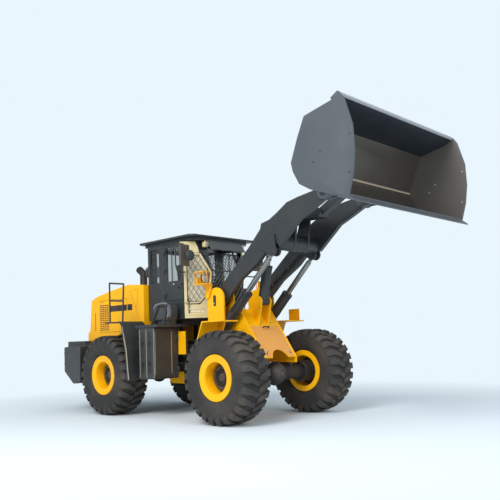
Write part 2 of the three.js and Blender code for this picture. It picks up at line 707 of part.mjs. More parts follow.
const quarterWindow = (s) => {
  const mid = [(CAB_CORNER_X + QUARTER_FRONT) / 2, s * (CAB_HALF + CAB_FRONT_HALF) / 2];
  const geometry = new THREE.BoxGeometry(360, 260, 960);
  geometry.rotateZ(s * quarterAngle);
  geometry.translate(mid[0], mid[1], 1820);
  return toSolid(geometry);
};

const cabHingeX = DOOR_X[0] + 1;
const doorKnuckles = (s, sill, door) => {
  const y = s * (CAB_HALF + KNUCKLE_R + 2);
  const spans = [sill + 120, (sill + DOOR_TOP) / 2 + 60, DOOR_TOP - 120].map((z) =>
    (door ? [z + FIT / 2, z + 55] : [z - 55, z - FIT / 2]));
  const leaf = [
    door ? [cabHingeX, cabHingeX + 50] : [cabHingeX - 40, cabHingeX],
    [s * (CAB_HALF - 3), y],
  ];
  return hinge('z', [cabHingeX, y], spans, leaf);
};

const cab = () => {
  const shell = cut(cabVolume(0), cabVolume(CAB_WALL));
  const windows = [
    box([200, 700], [-WINDSCREEN_HALF, WINDSCREEN_HALF], WINDSCREEN_Z),
    box([CAB_REAR - 10, CAB_REAR + 100], [-REAR_GLASS.y, REAR_GLASS.y], REAR_GLASS.z),
    SIDES.map(([, s]) => quarterWindow(s)),
    SIDES.map(([, s]) => box([CAB_REAR + 70, -560], SIDE_CUT.map((y) => s * y), [SIDE_GLASS_SILL, 2380])),
  ].flat();
  const doorways = [['right', -1, DOOR_SILL_RIGHT], ['left', 1, DOOR_SILL_LEFT]].map(([, s, sill]) =>
    box(DOOR_X, SIDE_CUT.map((y) => s * y), [sill, DOOR_TOP]));
  const knuckles = [
    doorKnuckles(-1, DOOR_SILL_RIGHT, false),
    doorKnuckles(1, DOOR_SILL_LEFT, false),
  ];
  return join(cut(shell, windows, doorways), knuckles.flat());
};

add('cab_body', cab(), DARK());

const roof = () => plate([
  [CAB_REAR - 150, -ROOF_HALF + 60], [CAB_REAR - 90, -ROOF_HALF], [400, -ROOF_HALF], [465, -ROOF_HALF + 40],
  [465, ROOF_HALF - 40], [400, ROOF_HALF], [CAB_REAR - 90, ROOF_HALF], [CAB_REAR - 150, ROOF_HALF - 60],
], CAB_TOP + FIT, CAB_TOP + ROOF_THICK);

const visor = () => slab([
  [460, CAB_TOP + 20], [500, CAB_TOP - 230], [508, CAB_TOP - 230], [475, CAB_TOP + 90], [460, CAB_TOP + 90],
], -CAB_FRONT_HALF - 15, CAB_FRONT_HALF + 15);

add('cab_roof', join(roof(), visor()), DARK());

for (const [side, s, sill] of [['right', -1, DOOR_SILL_RIGHT], ['left', 1, DOOR_SILL_LEFT]]) {
  const [x0, x1] = [DOOR_X[0] + PANEL_GAP, DOOR_X[1] - PANEL_GAP];
  const [z0, z1] = [sill + PANEL_GAP, DOOR_TOP - PANEL_GAP];
  const glassX = [x0 + 55, x1 - 55];
  const glassZ = [SIDE_GLASS_SILL, z1 - 55];
  const panel = cut(
    box([x0, x1], [s * (CAB_HALF - CAB_WALL), s * CAB_HALF], [z0, z1]),
    box(glassX, SIDE_CUT.map((y) => s * y), glassZ),
  );
  add(`cab_door_${side}`, join(panel, doorKnuckles(s, sill, true)), DARK());
  add(`door_glass_${side}`, box(
    [glassX[0] + FIT, glassX[1] - FIT],
    [s * (CAB_HALF - 20), s * (CAB_HALF - 20 - GLASS_THICK)],
    [glassZ[0] + FIT, glassZ[1] - FIT],
  ), GLASS());
}

const windscreen = () => {
  const outer = offsetPath(cabProfile, 18);
  const inner = offsetPath(cabProfile, 18 + GLASS_THICK);
  return slab([...outer, ...inner.reverse()], -WINDSCREEN_HALF + FIT, WINDSCREEN_HALF - FIT)
    .intersect(box([0, 900], [-900, 900], [WINDSCREEN_Z[0] + FIT, WINDSCREEN_Z[1] - FIT]));
};

add('windscreen', windscreen(), GLASS());
add('rear_glass', box(
  [CAB_REAR + 18, CAB_REAR + 18 + GLASS_THICK], [-REAR_GLASS.y + FIT, REAR_GLASS.y - FIT],
  [REAR_GLASS.z[0] + FIT, REAR_GLASS.z[1] - FIT],
), GLASS());

const MIRROR_Y = 965;
const CAB_DECK = CAB_FLOOR + CAB_FLOOR_THICK;
add('seat', join(
  box([-560, -140], [-200, 200], [CAB_DECK + FIT, CAB_DECK + 300]),
  box([-600, -80], [-260, 260], [CAB_DECK + 290, CAB_DECK + 440]),
  slab([
    [-600, CAB_DECK + 430], [-480, CAB_DECK + 430], [-560, CAB_DECK + 1080], [-670, CAB_DECK + 1080],
  ], -250, 250),
), BLACK());

add('steering_column', join(
  slab([
    [210, CAB_DECK + FIT], [330, CAB_DECK + FIT], [250, CAB_DECK + 640], [200, CAB_DECK + 640],
  ], -70, 70),
  bar([225, 0, CAB_DECK + 620], [195, 0, CAB_DECK + 700], 20, 12),
  bar([198, 0, CAB_DECK + 690], [190, 0, CAB_DECK + 715], 200, 28),
), BLACK());

for (const [side, s] of SIDES) {
  const y = s * MIRROR_Y;
  const foot = (out) => [
    CAB_CORNER_X + 20 - out * Math.sin(quarterAngle),
    s * (CAB_HALF + 20 * Math.tan(quarterAngle) + out * Math.cos(quarterAngle)), 1880,
  ];
  add(`mirror_${side}`, join(
    bar(foot(FIT), foot(50), 22),
    tube([foot(40), [300, s * 860, 1860], [400, y, 1930], [405, y, 2380]], 14),
    box([400, 428], [y - 85, y + 85], [1960, 2350]),
    bar([424, y, 2140], [500, y, 2140], 12, 10),
    bar([495, y, 2140], [520, y, 2140], 95, 20),
  ), BLACK());
}

// ---------- front frame ----------

const pivot = [PIVOT_X, PIVOT_HEIGHT];
const liftBase = [PIVOT_X + LIFT_BASE[0], LIFT_BASE[1]];
const tiltBase = [PIVOT_X + TILT_BASE[0], TILT_BASE[1]];
const towerBack = PIVOT_X - TOWER_BACK;
const towerOuterFace = TOWER_OUTER - TOWER_PLATE;
const SLOPE_TOP = [PIVOT_X + 320, 1150];
const SLOPE_FOOT = [FRONT_X + 230, 280];

const innerPlate = (s) => slab([
  [WEB_X, HINGE_LOW - 50], [FRONT_X - 500, HINGE_LOW - 50], [FRONT_X - 420, 180], [SLOPE_FOOT[0], 180],
  SLOPE_FOOT, SLOPE_TOP, [PIVOT_X + TOWER_R, PIVOT_HEIGHT - 80],
  ...arc(pivot, TOWER_R, 0, 165, 10),
  [towerBack, PIVOT_HEIGHT - 60], [towerBack, 960], [WEB_X, HINGE_HIGH + 60],
], s * TOWER_INNER, s * (TOWER_INNER + TOWER_PLATE));

const outerPlate = (s) => slab([
  [towerBack, 530], [PIVOT_X + 30, 530], [PIVOT_X + TOWER_R, 900], [PIVOT_X + TOWER_R, PIVOT_HEIGHT],
  ...arc(pivot, TOWER_R, 10, 165, 9), [towerBack, PIVOT_HEIGHT - 60],
], s * TOWER_OUTER, s * towerOuterFace);

const slopingPlate = () => {
  const top = [SLOPE_TOP[0] - 6, SLOPE_TOP[1] - 4];
  const foot = [SLOPE_FOOT[0] - 6, SLOPE_FOOT[1] + 4];
  const under = offsetPath([top, foot], -30);
  return cut(
    slab([top, foot, under[1], under[0]].reverse(), -TOWER_INNER - 5, TOWER_INNER + 5),
    bar([FRONT_X - 200, 0, 180], [FRONT_X + 400, 0, 180], 235, 24),
  );
};

const tiltEars = () => SIDES.map(([, s]) => join(
  pin(tiltBase, 85, s * CRANK_GAP, s * (CRANK_GAP + 30)),
  slab([
    [tiltBase[0] - 84, tiltBase[1] + 10], [SLOPE_TOP[0] - 15, SLOPE_TOP[1] - 15],
    [SLOPE_TOP[0] + 195, SLOPE_TOP[1] - 320], [tiltBase[0] + 82, tiltBase[1] - 20],
  ], s * CRANK_GAP, s * (CRANK_GAP + 30)),
));

const frontWeb = () => cut(
  box([WEB_X, WEB_X + 40], [-TOWER_INNER - 5, TOWER_INNER + 5], [HINGE_LOW - 50, HINGE_HIGH + 60]),
  bar([WEB_X - 100, 0, 0], [WEB_X + 200, 0, 0], 120, 20),
);

const frontFrame = () => {
  const plates = SIDES.flatMap(([, s]) => [
    innerPlate(s), outerPlate(s),
    box([towerBack, towerBack + 28], [s * TOWER_INNER, s * TOWER_OUTER], [530, PIVOT_HEIGHT + 40]),
    pin(pivot, BOOM_PIN_R, s * (TOWER_INNER + 5), s * (TOWER_OUTER - 5)),
    pin(liftBase, LINK_PIN_R, s * (TOWER_INNER + 5), s * (TOWER_OUTER - 5)),
  ]);
  const deck = slab([
    [towerBack, 935], [towerBack, 965],
    [SLOPE_TOP[0] - 8, SLOPE_TOP[1] - 2], [SLOPE_TOP[0] - 8, SLOPE_TOP[1] - 40],
  ].reverse(), -TOWER_INNER - 5, TOWER_INNER + 5);
  const steerForks = SIDES.flatMap(([, s]) => [-1, 1].map((v) => box(
    [WEB_X, STEER_EYE[0] + 50], [s * TOWER_INNER, s * (STEER_EYE[1] + 60)],
    [STEER_HEIGHT + v * STEER_FORK_GAP, STEER_HEIGHT + v * (STEER_FORK_GAP + STEER_FORK)],
  )));
  const steerWindows = box([WEB_X + 50, STEER_EYE[0] + 130], [-TOWER_OUTER, TOWER_OUTER],
    [STEER_HEIGHT - STEER_FORK_GAP + 2, STEER_HEIGHT + STEER_FORK_GAP - 2]);
  return join(
    cut(join(plates), steerWindows), deck, slopingPlate(), frontWeb(), tiltEars(),
    pin(tiltBase, LINK_PIN_R, -CRANK_GAP - 20, CRANK_GAP + 20),
    [HINGE_HIGH, HINGE_LOW].map((level) => cut(
      hingePlate(1, level - HINGE_PLATE / 2, level + HINGE_PLATE / 2), hingeBore(level))),
    steerForks,
  );
};

add('front_frame', frontFrame(), YELLOW());

const frontFender = (s) => {
  const x0 = FRONT_X - 600;
  const path = [[x0 + 460, 940], [x0, 940], [x0 - 220, 430]];
  const under = offsetPath(path, FENDER_SKIN);
  return slab([...path, ...under.reverse()], s * (TOWER_OUTER + FIT), s * 1090);
};

for (const [side, s] of SIDES) {
  add(`front_fender_${side}`, frontFender(s), YELLOW());
  add(`work_lamp_${side}`, join(
    box([PIVOT_X - 160, PIVOT_X - 90], [s * (TOWER_OUTER + FIT), s * 740], [PIVOT_HEIGHT + 40, 1640]),
    box([PIVOT_X - 300, PIVOT_X - 70], [s * 690, s * 975], [1590, 1830]),
  ), YELLOW());
}

// ---------- boom ----------

const boomGroup = groupAt(machine, PIVOT_X, 0, PIVOT_HEIGHT);
boomGroup.rotation.y = -BOOM_ANGLE * DEG;
const BOOM_EYE_R = 110;

const armOutline = [
  ...arc([0, 0], 150, 80, 300, 12), [629, -30], [1279, -35], [1626, -115], [1897, -70], [2222, -17],
  [2507, -57], ...arc([BOOM_LENGTH, 0], BOOM_EYE_R, 230, 450, 12), [2655, 182], [2359, 310],
  [2147, 386], [1906, 386], [1697, 400], [1519, 462], [1445, 398], [1060, 310], [214, 176],
];

const ARM_IN = ARM_Y - ARM_THICK / 2;
const ARM_OUT = ARM_Y + ARM_THICK / 2;

// room under the arm for the lift cylinder's rod when the boom is up
const rodRelief = [[1080, -80], [1360, -80], [1360, 14], [1080, -38]];

const boomArm = (s) => {
  const across = [s * (ARM_IN - 5), s * (ARM_OUT + 5)];
  const arm = cut(slab(armOutline, s * ARM_IN, s * ARM_OUT),
    pin(LIFT_EYE, 150, ...across), slab(rodRelief, ...across));
  const boss = pin([0, 0], 140, s * (ARM_Y - 90), s * (ARM_Y + 90));
  const doublers = [[ARM_IN - 30, ARM_IN + 2], [ARM_OUT - 2, ARM_OUT + 30]].map(([a, b]) =>
    slab([
      ...arc(LIFT_EYE, 95, 190, 350, 8), [LIFT_EYE[0] + 190, LIFT_EYE[1] + 190],
      [LIFT_EYE[0] - 190, LIFT_EYE[1] + 190],
    ], s * a, s * b));
  return join(arm, boss, doublers);
};

const boom = () => {
  const reach = CRANK_GAP + CRANK_PLATE + 10;
  const ears = SIDES.map(([, s]) => slab(
    lever(TORQUE_TUBE, TORQUE_TUBE_R + 5, CRANK_PIVOT, 92), s * reach, s * (reach + 40)));
  return cut(
    join(
      SIDES.map(([, s]) => boomArm(s)),
      pin(TORQUE_TUBE, TORQUE_TUBE_R, -ARM_IN - 1, ARM_IN + 1, 24),
      ears,
      pin(CRANK_PIVOT, CRANK_PIN_R, -reach - 30, reach + 30),
    ),
    SIDES.map(([, s]) => [[0, 0], [BOOM_LENGTH, 0]].map((at) =>
      pin(at, boreRadius(BOOM_PIN_R), s * 400, s * 700))),
  );
};

add('boom', boom(), DARK(), boomGroup);

// ---------- bellcrank and link ----------

const boomToMachine = ([x, z]) => {
  const [c, s] = [Math.cos(BOOM_ANGLE * DEG), Math.sin(BOOM_ANGLE * DEG)];
  return [PIVOT_X + x * c - z * s, PIVOT_HEIGHT + x * s + z * c];
};
const crankPivot = boomToMachine(CRANK_PIVOT);
const bucketPin = boomToMachine([BOOM_LENGTH, 0]);
const bucketToMachine = ([x, z]) => {
  const [c, s] = [Math.cos(BUCKET_TIP_DOWN * DEG), Math.sin(BUCKET_TIP_DOWN * DEG)];
  return [bucketPin[0] + x * c + z * s, bucketPin[1] - x * s + z * c];
};

const crankGroup = groupAt(machine, crankPivot[0], 0, crankPivot[1]);
const bellcrank = () => {
  const plates = SIDES.flatMap(([, s]) => [
    slab(lever([0, 0], 120, CRANK_LONG, 80), s * CRANK_GAP, s * (CRANK_GAP + CRANK_PLATE)),
    slab(lever([0, 0], 120, CRANK_SHORT, 75), s * CRANK_GAP, s * (CRANK_GAP + CRANK_PLATE)),
  ]);
  return cut(
    join(
      plates,
      pin([0, 0], 100, -CRANK_GAP - 5, CRANK_GAP + 5),
      pin(CRANK_SHORT, LINK_PIN_R, -CRANK_GAP - 20, CRANK_GAP + 20),
    ),
    pin([0, 0], boreRadius(CRANK_PIN_R), -300, 300),
    SIDES.map(([, s]) => pin(CRANK_LONG, LINK_PIN_R, s * (CRANK_GAP - 5), s * 200)),
  );
};
add('bellcrank', bellcrank(), DARK(), crankGroup);

const linkGroup = groupAt(machine, crankPivot[0] + CRANK_SHORT[0], 0, crankPivot[1] + CRANK_SHORT[1]);
const linkEnd = bucketToMachine(LINK_TOP);
const linkVector = [linkEnd[0] - linkGroup.position.x, linkEnd[1] - linkGroup.position.z];
const link = () => cut(
  join(
    slab(lever([0, 0], 72, linkVector, 62), -60, 60),
    pin([0, 0], 72, -CRANK_GAP + 10, CRANK_GAP - 10),
    pin(linkVector, 62, -CRANK_GAP + 10, CRANK_GAP - 10),
  ),
  pin([0, 0], boreRadius(LINK_PIN_R), -200, 200),
);
add('bucket_link', link(), DARK(), linkGroup);

// ---------- bucket ----------

const bucketGroup = groupAt(machine, bucketPin[0], 0, bucketPin[1]);
bucketGroup.rotation.y = BUCKET_TIP_DOWN * DEG;

const bucketBack = [
  [679, 1314], [580, 1199], [159, 950], [127, 643], [112, 292], [185, 177], [350, 29], [576, -14],
  [1095, -16], [1234, 15],
];
const bucketMouth = [[1214, 312], [1153, 593], [1018, 925], [787, 1237]];

const bucket = () => {
  const half = BUCKET_WIDTH / 2;
  const inner = offsetPath(bucketBack, BUCKET_SKIN);
  const hollow = slab([
    ...inner, [2000, inner.at(-1)[1] + 60], [2000, 1700], [inner[0][0] + 80, 1700],
  ], -half + BUCKET_SKIN, half - BUCKET_SKIN);
  const shell = cut(slab([...bucketBack, ...bucketMouth], -half, half), hollow);
  const edge = slab([
    [1060, -30], [1330, -30], [1349, -16], [1240, 24], [1100, 10], [1060, 0],
  ], -half - 8, half + 8);
  const topBar = slab([[590, 1196], [678, 1298], [644, 1328], [556, 1226]], -half + 3, half - 3);
  const earSpans = [[ARM_IN - 50, ARM_IN - 10], [ARM_OUT + 10, ARM_OUT + 50]];
  const hingeEars = SIDES.flatMap(([, s]) => earSpans.map(([a, b]) =>
    slab([
      [-62, 90], ...arc([0, 0], BUCKET_EAR_R, 125, 305, 10), [92, -62], [345, 24], [360, 38], [197, 186],
      [124, 296], [131, 500], [121, 500],
    ], s * a, s * b)));
  const hingePins = SIDES.map(([, s]) => pin([0, 0], BOOM_PIN_R, s * (ARM_IN - 45), s * (ARM_OUT + 45)));
  const linkEars = SIDES.map(([, s]) => slab([
    ...arc(LINK_TOP, 75, 110, 290, 8), [190, 176], [197, 186], [124, 296], [133, 440], [118, 440],
  ], s * (CRANK_GAP + 8), s * (CRANK_GAP + 45)));
  return join(shell, edge, topBar, hingeEars, hingePins, linkEars);
};
add('bucket', bucket(), DARK(), bucketGroup);

// ---------- cylinders ----------

// A cylinder lies along +X of its own group: a barrel with an eye at the origin, and a rod with an eye at
// its far end. `retract` is how far the rod goes in from rest.
const cylinder = (name, parent, turn, sizes) => {
  const { length, barrel, barrelR, rodR, eye, eyeHalf, pinR, retract, rodPin } = sizes;
  const group = groupAt(parent, 0, 0, 0);
  turn(group);
  const bore = [eye + 15, barrel + 10];
  const inside = bore[0] + retract + 15;
  add(`${name}_barrel`, cut(
    join(
      pin([0, 0], eye, -eyeHalf, eyeHalf),
      bar([eye * 0.4, 0, 0], [barrel, 0, 0], barrelR),
    ),
    pin([0, 0], boreRadius(pinR), -2 * eyeHalf, 2 * eyeHalf),
    bar([bore[0], 0, 0], [bore[1], 0, 0], rodR + FIT),
  ), DARK(), group);
  add(`${name}_rod`, join(
    bar([inside, 0, 0], [length - rodPin.neck, 0, 0], rodR),
    bar([length - rodPin.neck - 5, 0, 0], [length, 0, 0], Math.min(rodR, rodPin.half)),
    pin([length, 0], eye * 0.95, -rodPin.half, rodPin.half),
    pin([length, 0], pinR, -rodPin.reach, rodPin.reach),
  ), CHROME(), group);
  return group;
};

const liftEye = boomToMachine(LIFT_EYE);
const liftVector = [liftEye[0] - liftBase[0], liftEye[1] - liftBase[1]];
for (const [side, s] of SIDES) {
  cylinder(`lift_cylinder_${side}`, machine, (group) => {
    group.position.set(liftBase[0], s * ARM_Y, liftBase[1]);
    group.rotation.y = -Math.atan2(liftVector[1], liftVector[0]);
  }, {
    length: Math.hypot(...liftVector), barrel: LIFT_BARREL, barrelR: LIFT_BARREL_R, rodR: LIFT_ROD_R,
    eye: 62, eyeHalf: 88, pinR: LINK_PIN_R, retract: 730,
    rodPin: { half: ARM_THICK / 2 - 7, reach: ARM_THICK / 2 - 5, neck: 170 },
  });
}

const tiltEye = [crankPivot[0] + CRANK_LONG[0], crankPivot[1] + CRANK_LONG[1]];
const tiltVector = [tiltEye[0] - tiltBase[0], tiltEye[1] - tiltBase[1]];
cylinder('tilt_cylinder', machine, (group) => {
  group.position.set(tiltBase[0], 0, tiltBase[1]);
  group.rotation.y = -Math.atan2(tiltVector[1], tiltVector[0]);
}, {
  length: Math.hypot(...tiltVector), barrel: TILT_BARREL, barrelR: TILT_BARREL_R, rodR: TILT_ROD_R,
  eye: 75, eyeHalf: CRANK_GAP - 10, pinR: LINK_PIN_R, retract: 440,
  rodPin: { half: CRANK_GAP - 15, reach: CRANK_GAP - 8, neck: 20 },
});

for (const [side, s] of SIDES) {
  const [bx, by] = STEER_BASE;
  const dx = STEER_EYE[0] - bx;
  const dy = s * (STEER_EYE[1] - by);
  cylinder(`steering_cylinder_${side}`, machine, (group) => {
    group.position.set(bx, s * by, STEER_HEIGHT);
    group.rotation.set(Math.PI / 2, 0, 0);
    group.rotateOnWorldAxis(new THREE.Vector3(0, 0, 1), Math.atan2(dy, dx));
  }, {
    length: Math.hypot(dx, dy), barrel: STEER_BARREL, barrelR: STEER_BARREL_R, rodR: STEER_ROD_R,
    eye: 42, eyeHalf: 34, pinR: STEER_PIN_R, retract: 345,
    rodPin: { half: 30, reach: 40, neck: 20 },
  });
}

// ---------- place the whole machine over its own footprint ----------

const loader = new THREE.Group();
loader.add(machine);
loader.updateMatrixWorld(true);
const footprint = new THREE.Box3().setFromObject(loader, true);
machine.position.x -= (footprint.min.x + footprint.max.x) / 2;
machine.position.y -= (footprint.min.y + footprint.max.y) / 2;
machine.position.z -= footprint.min.z;

export default loader;
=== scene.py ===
# %% [markdown]
# # A wheel loader, from its bare frame to a finished machine
# The solids of the machine arrive ready made and in their true places. This lesson gives them
# finishes, and replaces the ones that are too plain, such as tyres, rims, mirrors and seat, with
# pieces modelled here. One unit is a metre, +X is forward, +Y is the driver's left and +Z is up.

# %% Load the frame
import json
from math import atan2, cos, radians, sin, tau

import bmesh
import bpy
from mathutils import Matrix, Vector

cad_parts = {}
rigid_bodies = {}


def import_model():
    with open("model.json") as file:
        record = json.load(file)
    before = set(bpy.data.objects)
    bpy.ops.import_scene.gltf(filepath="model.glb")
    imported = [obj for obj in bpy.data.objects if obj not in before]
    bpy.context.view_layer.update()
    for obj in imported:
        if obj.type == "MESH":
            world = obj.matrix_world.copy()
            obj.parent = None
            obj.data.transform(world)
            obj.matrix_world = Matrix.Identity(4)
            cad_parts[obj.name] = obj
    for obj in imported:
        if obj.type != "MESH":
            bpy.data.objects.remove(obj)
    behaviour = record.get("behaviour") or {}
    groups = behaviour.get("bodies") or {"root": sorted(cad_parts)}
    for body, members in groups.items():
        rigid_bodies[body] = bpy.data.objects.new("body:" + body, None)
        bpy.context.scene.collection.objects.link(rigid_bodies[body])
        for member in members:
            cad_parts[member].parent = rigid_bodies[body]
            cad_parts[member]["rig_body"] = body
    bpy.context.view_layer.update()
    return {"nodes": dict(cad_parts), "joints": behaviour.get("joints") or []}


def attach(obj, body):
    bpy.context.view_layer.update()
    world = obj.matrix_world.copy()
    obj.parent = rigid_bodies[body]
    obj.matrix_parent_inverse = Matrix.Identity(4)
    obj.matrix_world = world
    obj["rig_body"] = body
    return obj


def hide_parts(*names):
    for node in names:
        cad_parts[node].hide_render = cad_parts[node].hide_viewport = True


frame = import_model()
NODES = frame["nodes"]
JOINTS = {joint["name"]: joint for joint in frame["joints"]}

# %% [markdown]
# ## Landmarks
# Every later size hangs on a few pins and axles of the frame, so they are read from its joints
# once. The boom and the bucket are drawn in frames of their own, lying along the arm and along the
# bucket's floor: a matrix for each turns those drawings into the machine's frame.

# %% Pins, axles and their frames
def joint_at(name):
    return Vector(JOINTS[name]["pos_m"])


def axes_frame(x_axis, y_axis, z_axis, origin):
    """The matrix with these three axes, moved to an origin."""
    matrix = Matrix((x_axis, y_axis, z_axis)).transposed().to_4x4()
    matrix.translation = origin
    return matrix


STEER_PIN = joint_at("steer")
BOOM_PIN = joint_at("boom_lift")
BUCKET_PIN = joint_at("bucket_tilt")
CRANK_PIN = joint_at("bellcrank_swing")
FRONT_AXLE = joint_at("wheel_front_right_spin")
REAR_AXLE = joint_at("wheel_rear_right_spin")
ARM = BUCKET_PIN - BOOM_PIN
ARM_RISE = atan2(ARM.z, ARM.x)
BUCKET_DIP = 19.3  # degrees the bucket's floor slopes down, forward
BOOM = Matrix.Translation(BOOM_PIN) @ Matrix.Rotation(-ARM_RISE, 4, "Y")
BUCKET = Matrix.Translation(BUCKET_PIN) @ Matrix.Rotation(radians(BUCKET_DIP), 4, "Y")
SIDES = (("right", -1), ("left", 1))
WHEELS = [(end, side, s) for end in ("front", "rear") for side, s in SIDES]
print("boom", round(ARM.length, 3), "m long, raised", round(ARM_RISE / radians(1), 1), "degrees")


# %% [markdown]
# ## The camera
# A camera looks along its own -Z with +Y up. The frame of axes is built from a heading, a pitch and
# a small roll, which is easier to adjust than three Euler angles.

# %% Camera
def camera_matrix(place, heading, pitch, roll):
    ahead = Vector((cos(heading) * cos(pitch), sin(heading) * cos(pitch), sin(pitch)))
    right = Vector((sin(heading), -cos(heading), 0))
    up = right.cross(ahead)
    right, up = cos(roll) * right + sin(roll) * up, cos(roll) * up - sin(roll) * right
    return axes_frame(right, up, -ahead, place)


CAMERA_PLACE = Vector((9.034, -8.660, 1.375))
HEADING, PITCH, ROLL = radians(134.13), radians(3.39), radians(-1.81)
camera_data = bpy.data.cameras.new("camera")
camera_data.lens = 47.92
camera_data.shift_y = 0.1
camera = bpy.data.objects.new("camera", camera_data)
camera.matrix_world = camera_matrix(CAMERA_PLACE, HEADING, PITCH, ROLL)
bpy.context.scene.collection.objects.link(camera)
bpy.context.scene.camera = camera
print("camera at", tuple(round(v, 2) for v in camera.location))

# %% [markdown]
# ## Building helpers
# A piece starts as a bmesh. These few helpers add a box, a rod, a turned body, a flat plate or a
# bent tube to one. Each uses Blender's own operators, so the faces come out closed.


# %% Boxes, rods and plates
def add_box(bm, low, high, turn=Matrix()):
    low, high = Vector(low), Vector(high)
    size = high - low
    place = turn @ Matrix.Translation((low + high) / 2) @ Matrix.Diagonal((*map(abs, size), 1))
    bmesh.ops.create_cube(bm, size=1, matrix=place)


def add_rod(bm, start, end, radius, sides=20):
    start, end = Vector(start), Vector(end)
    run = end - start
    place = Matrix.Translation((start + end) / 2) @ run.to_track_quat("Z", "Y").to_matrix().to_4x4()
    bmesh.ops.create_cone(
        bm, cap_ends=True, cap_tris=False, segments=sides, radius1=radius, radius2=radius,
        depth=run.length, matrix=place,
    )


def add_plate(bm, outline, thickness):
    """A closed flat outline of points, carried along the thickness vector."""
    face = bm.faces.new([bm.verts.new(point) for point in outline])
    body = bmesh.ops.extrude_face_region(bm, geom=[face])["geom"]
    moved = [v for v in body if isinstance(v, bmesh.types.BMVert)]
    bmesh.ops.translate(bm, verts=moved, vec=Vector(thickness))


def side_plate(bm, outline, y0, y1, turn=Matrix()):
    """An outline of (x, z) points, carried from y0 to y1."""
    corners = [turn @ Vector((x, y0, z)) for x, z in outline]
    add_plate(bm, corners, turn.to_3x3() @ Vector((0, y1 - y0, 0)))


def circle_points(centre, radius, start=0, end=360, steps=24):
    angles = [radians(start + (end - start) * i / steps) for i in range(steps + 1)]
    return [(centre[0] + radius * cos(a), centre[1] + radius * sin(a)) for a in angles]


print("helpers for boxes, rods and plates are ready")

# %% [markdown]
# A turned body is a profile spun round an axis, and a band is the shortest of them. A tube is a
# curve with a round bevel. Its corners are eased first, as a pipe bender leaves them.


# %% Turned bodies and bent tubes
def add_turned(bm, profile, centre, axis=(0, 1, 0), steps=64):
    """A profile of (radius, distance along the axis), spun once round the axis."""
    axis = Vector(axis).normalized()
    out = axis.orthogonal().normalized()
    centre = Vector(centre)
    verts = [bm.verts.new(centre + out * r + axis * d) for r, d in profile]
    edges = [bm.edges.new(pair) for pair in zip(verts, verts[1:])]
    if profile[0][0] > 0 and profile[-1][0] > 0:
        edges.append(bm.edges.new((verts[-1], verts[0])))
    bmesh.ops.spin(
        bm, geom=verts + edges, cent=centre, axis=axis, angle=tau, steps=steps, use_merge=True,
        use_duplicate=False,
    )
    bmesh.ops.remove_doubles(bm, verts=bm.verts, dist=1e-5)


def add_band(bm, centre, axis, inner, outer, low, high, steps=40):
    """A ring between two radii and two distances along its axis."""
    add_turned(bm, [(inner, low), (outer, low), (outer, high), (inner, high)], centre, axis, steps)


BEND_STEPS = 5


def rounded_path(points, radius):
    """The same path with each corner eased into a short curve."""
    points = [Vector(p) for p in points]
    path = [points[0]]
    for before, corner, after in zip(points, points[1:], points[2:]):
        a = corner + (before - corner).normalized() * min(radius, (before - corner).length * 0.45)
        b = corner + (after - corner).normalized() * min(radius, (after - corner).length * 0.45)
        for i in range(BEND_STEPS + 1):
            t = i / BEND_STEPS
            path.append(a * (1 - t) ** 2 + corner * 2 * t * (1 - t) + b * t * t)
    return path + [points[-1]]


def add_tube(bm, points, radius, bend=0.05, sides=3):
    """A round tube along a path, made from a curve and added as a mesh."""
    curve = bpy.data.curves.new("tube", "CURVE")
    curve.dimensions = "3D"
    curve.bevel_depth = radius
    curve.bevel_resolution = sides
    curve.use_fill_caps = True
    spline = curve.splines.new("POLY")
    path = rounded_path(points, bend)
    spline.points.add(len(path) - 1)
    for target, point in zip(spline.points, path):
        target.co = (*point, 1)
    holder = bpy.data.objects.new("tube", curve)
    mesh = bpy.data.meshes.new_from_object(holder)
    bm.from_mesh(mesh)
    bpy.data.objects.remove(holder)
    bpy.data.curves.remove(curve)
    bpy.data.meshes.remove(mesh)


print("helpers for turned bodies and tubes are ready")

# %% [markdown]
# ## From bmesh to finished piece
# A finished piece needs a mesh, its finish, a body to ride on, a little rounding on its edges and
# smooth shading that stops at real corners. One function does all of it in the same order each time.


# %% Pieces and softened solids
def smooth_shading(mesh, angle):
    mesh.polygons.foreach_set("use_smooth", [True] * len(mesh.polygons))
    mesh.set_sharp_from_angle(angle=radians(angle))


def piece(name, bm, finish, body, replaces=(), bevel=0.0, segments=2, smooth=35, turn=None):
    bmesh.ops.recalc_face_normals(bm, faces=bm.faces)
    if turn is not None:
        bmesh.ops.transform(bm, matrix=turn, verts=bm.verts)
    mesh = bpy.data.meshes.new(name)
    bm.to_mesh(mesh)
    bm.free()
    return finish_piece(name, mesh, finish, body, replaces, bevel, segments, smooth)


def finish_piece(name, mesh, finish, body, replaces, bevel, segments, smooth):
    made = bpy.data.objects.new(name, mesh)
    bpy.context.scene.collection.objects.link(made)
    for material in finish if isinstance(finish, (list, tuple)) else [finish]:
        mesh.materials.append(material)
    smooth_shading(mesh, smooth)
    if bevel:
        rounding = made.modifiers.new("rounded edges", "BEVEL")
        rounding.width = bevel
        rounding.segments = segments
        rounding.limit_method = "ANGLE"
        rounding.angle_limit = radians(35)
        rounding.profile = 0.5
    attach(made, body)
    if replaces:
        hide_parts(*replaces)
    return made


def solid_copy(node):
    """The CAD node's mesh with its loose triangles joined into flat faces."""
    bm = bmesh.new()
    bm.from_mesh(NODES[node].data)
    bmesh.ops.remove_doubles(bm, verts=bm.verts, dist=2e-5)
    bmesh.ops.dissolve_limit(
        bm, angle_limit=radians(0.5), use_dissolve_boundaries=False, verts=bm.verts, edges=bm.edges,
    )
    return bm


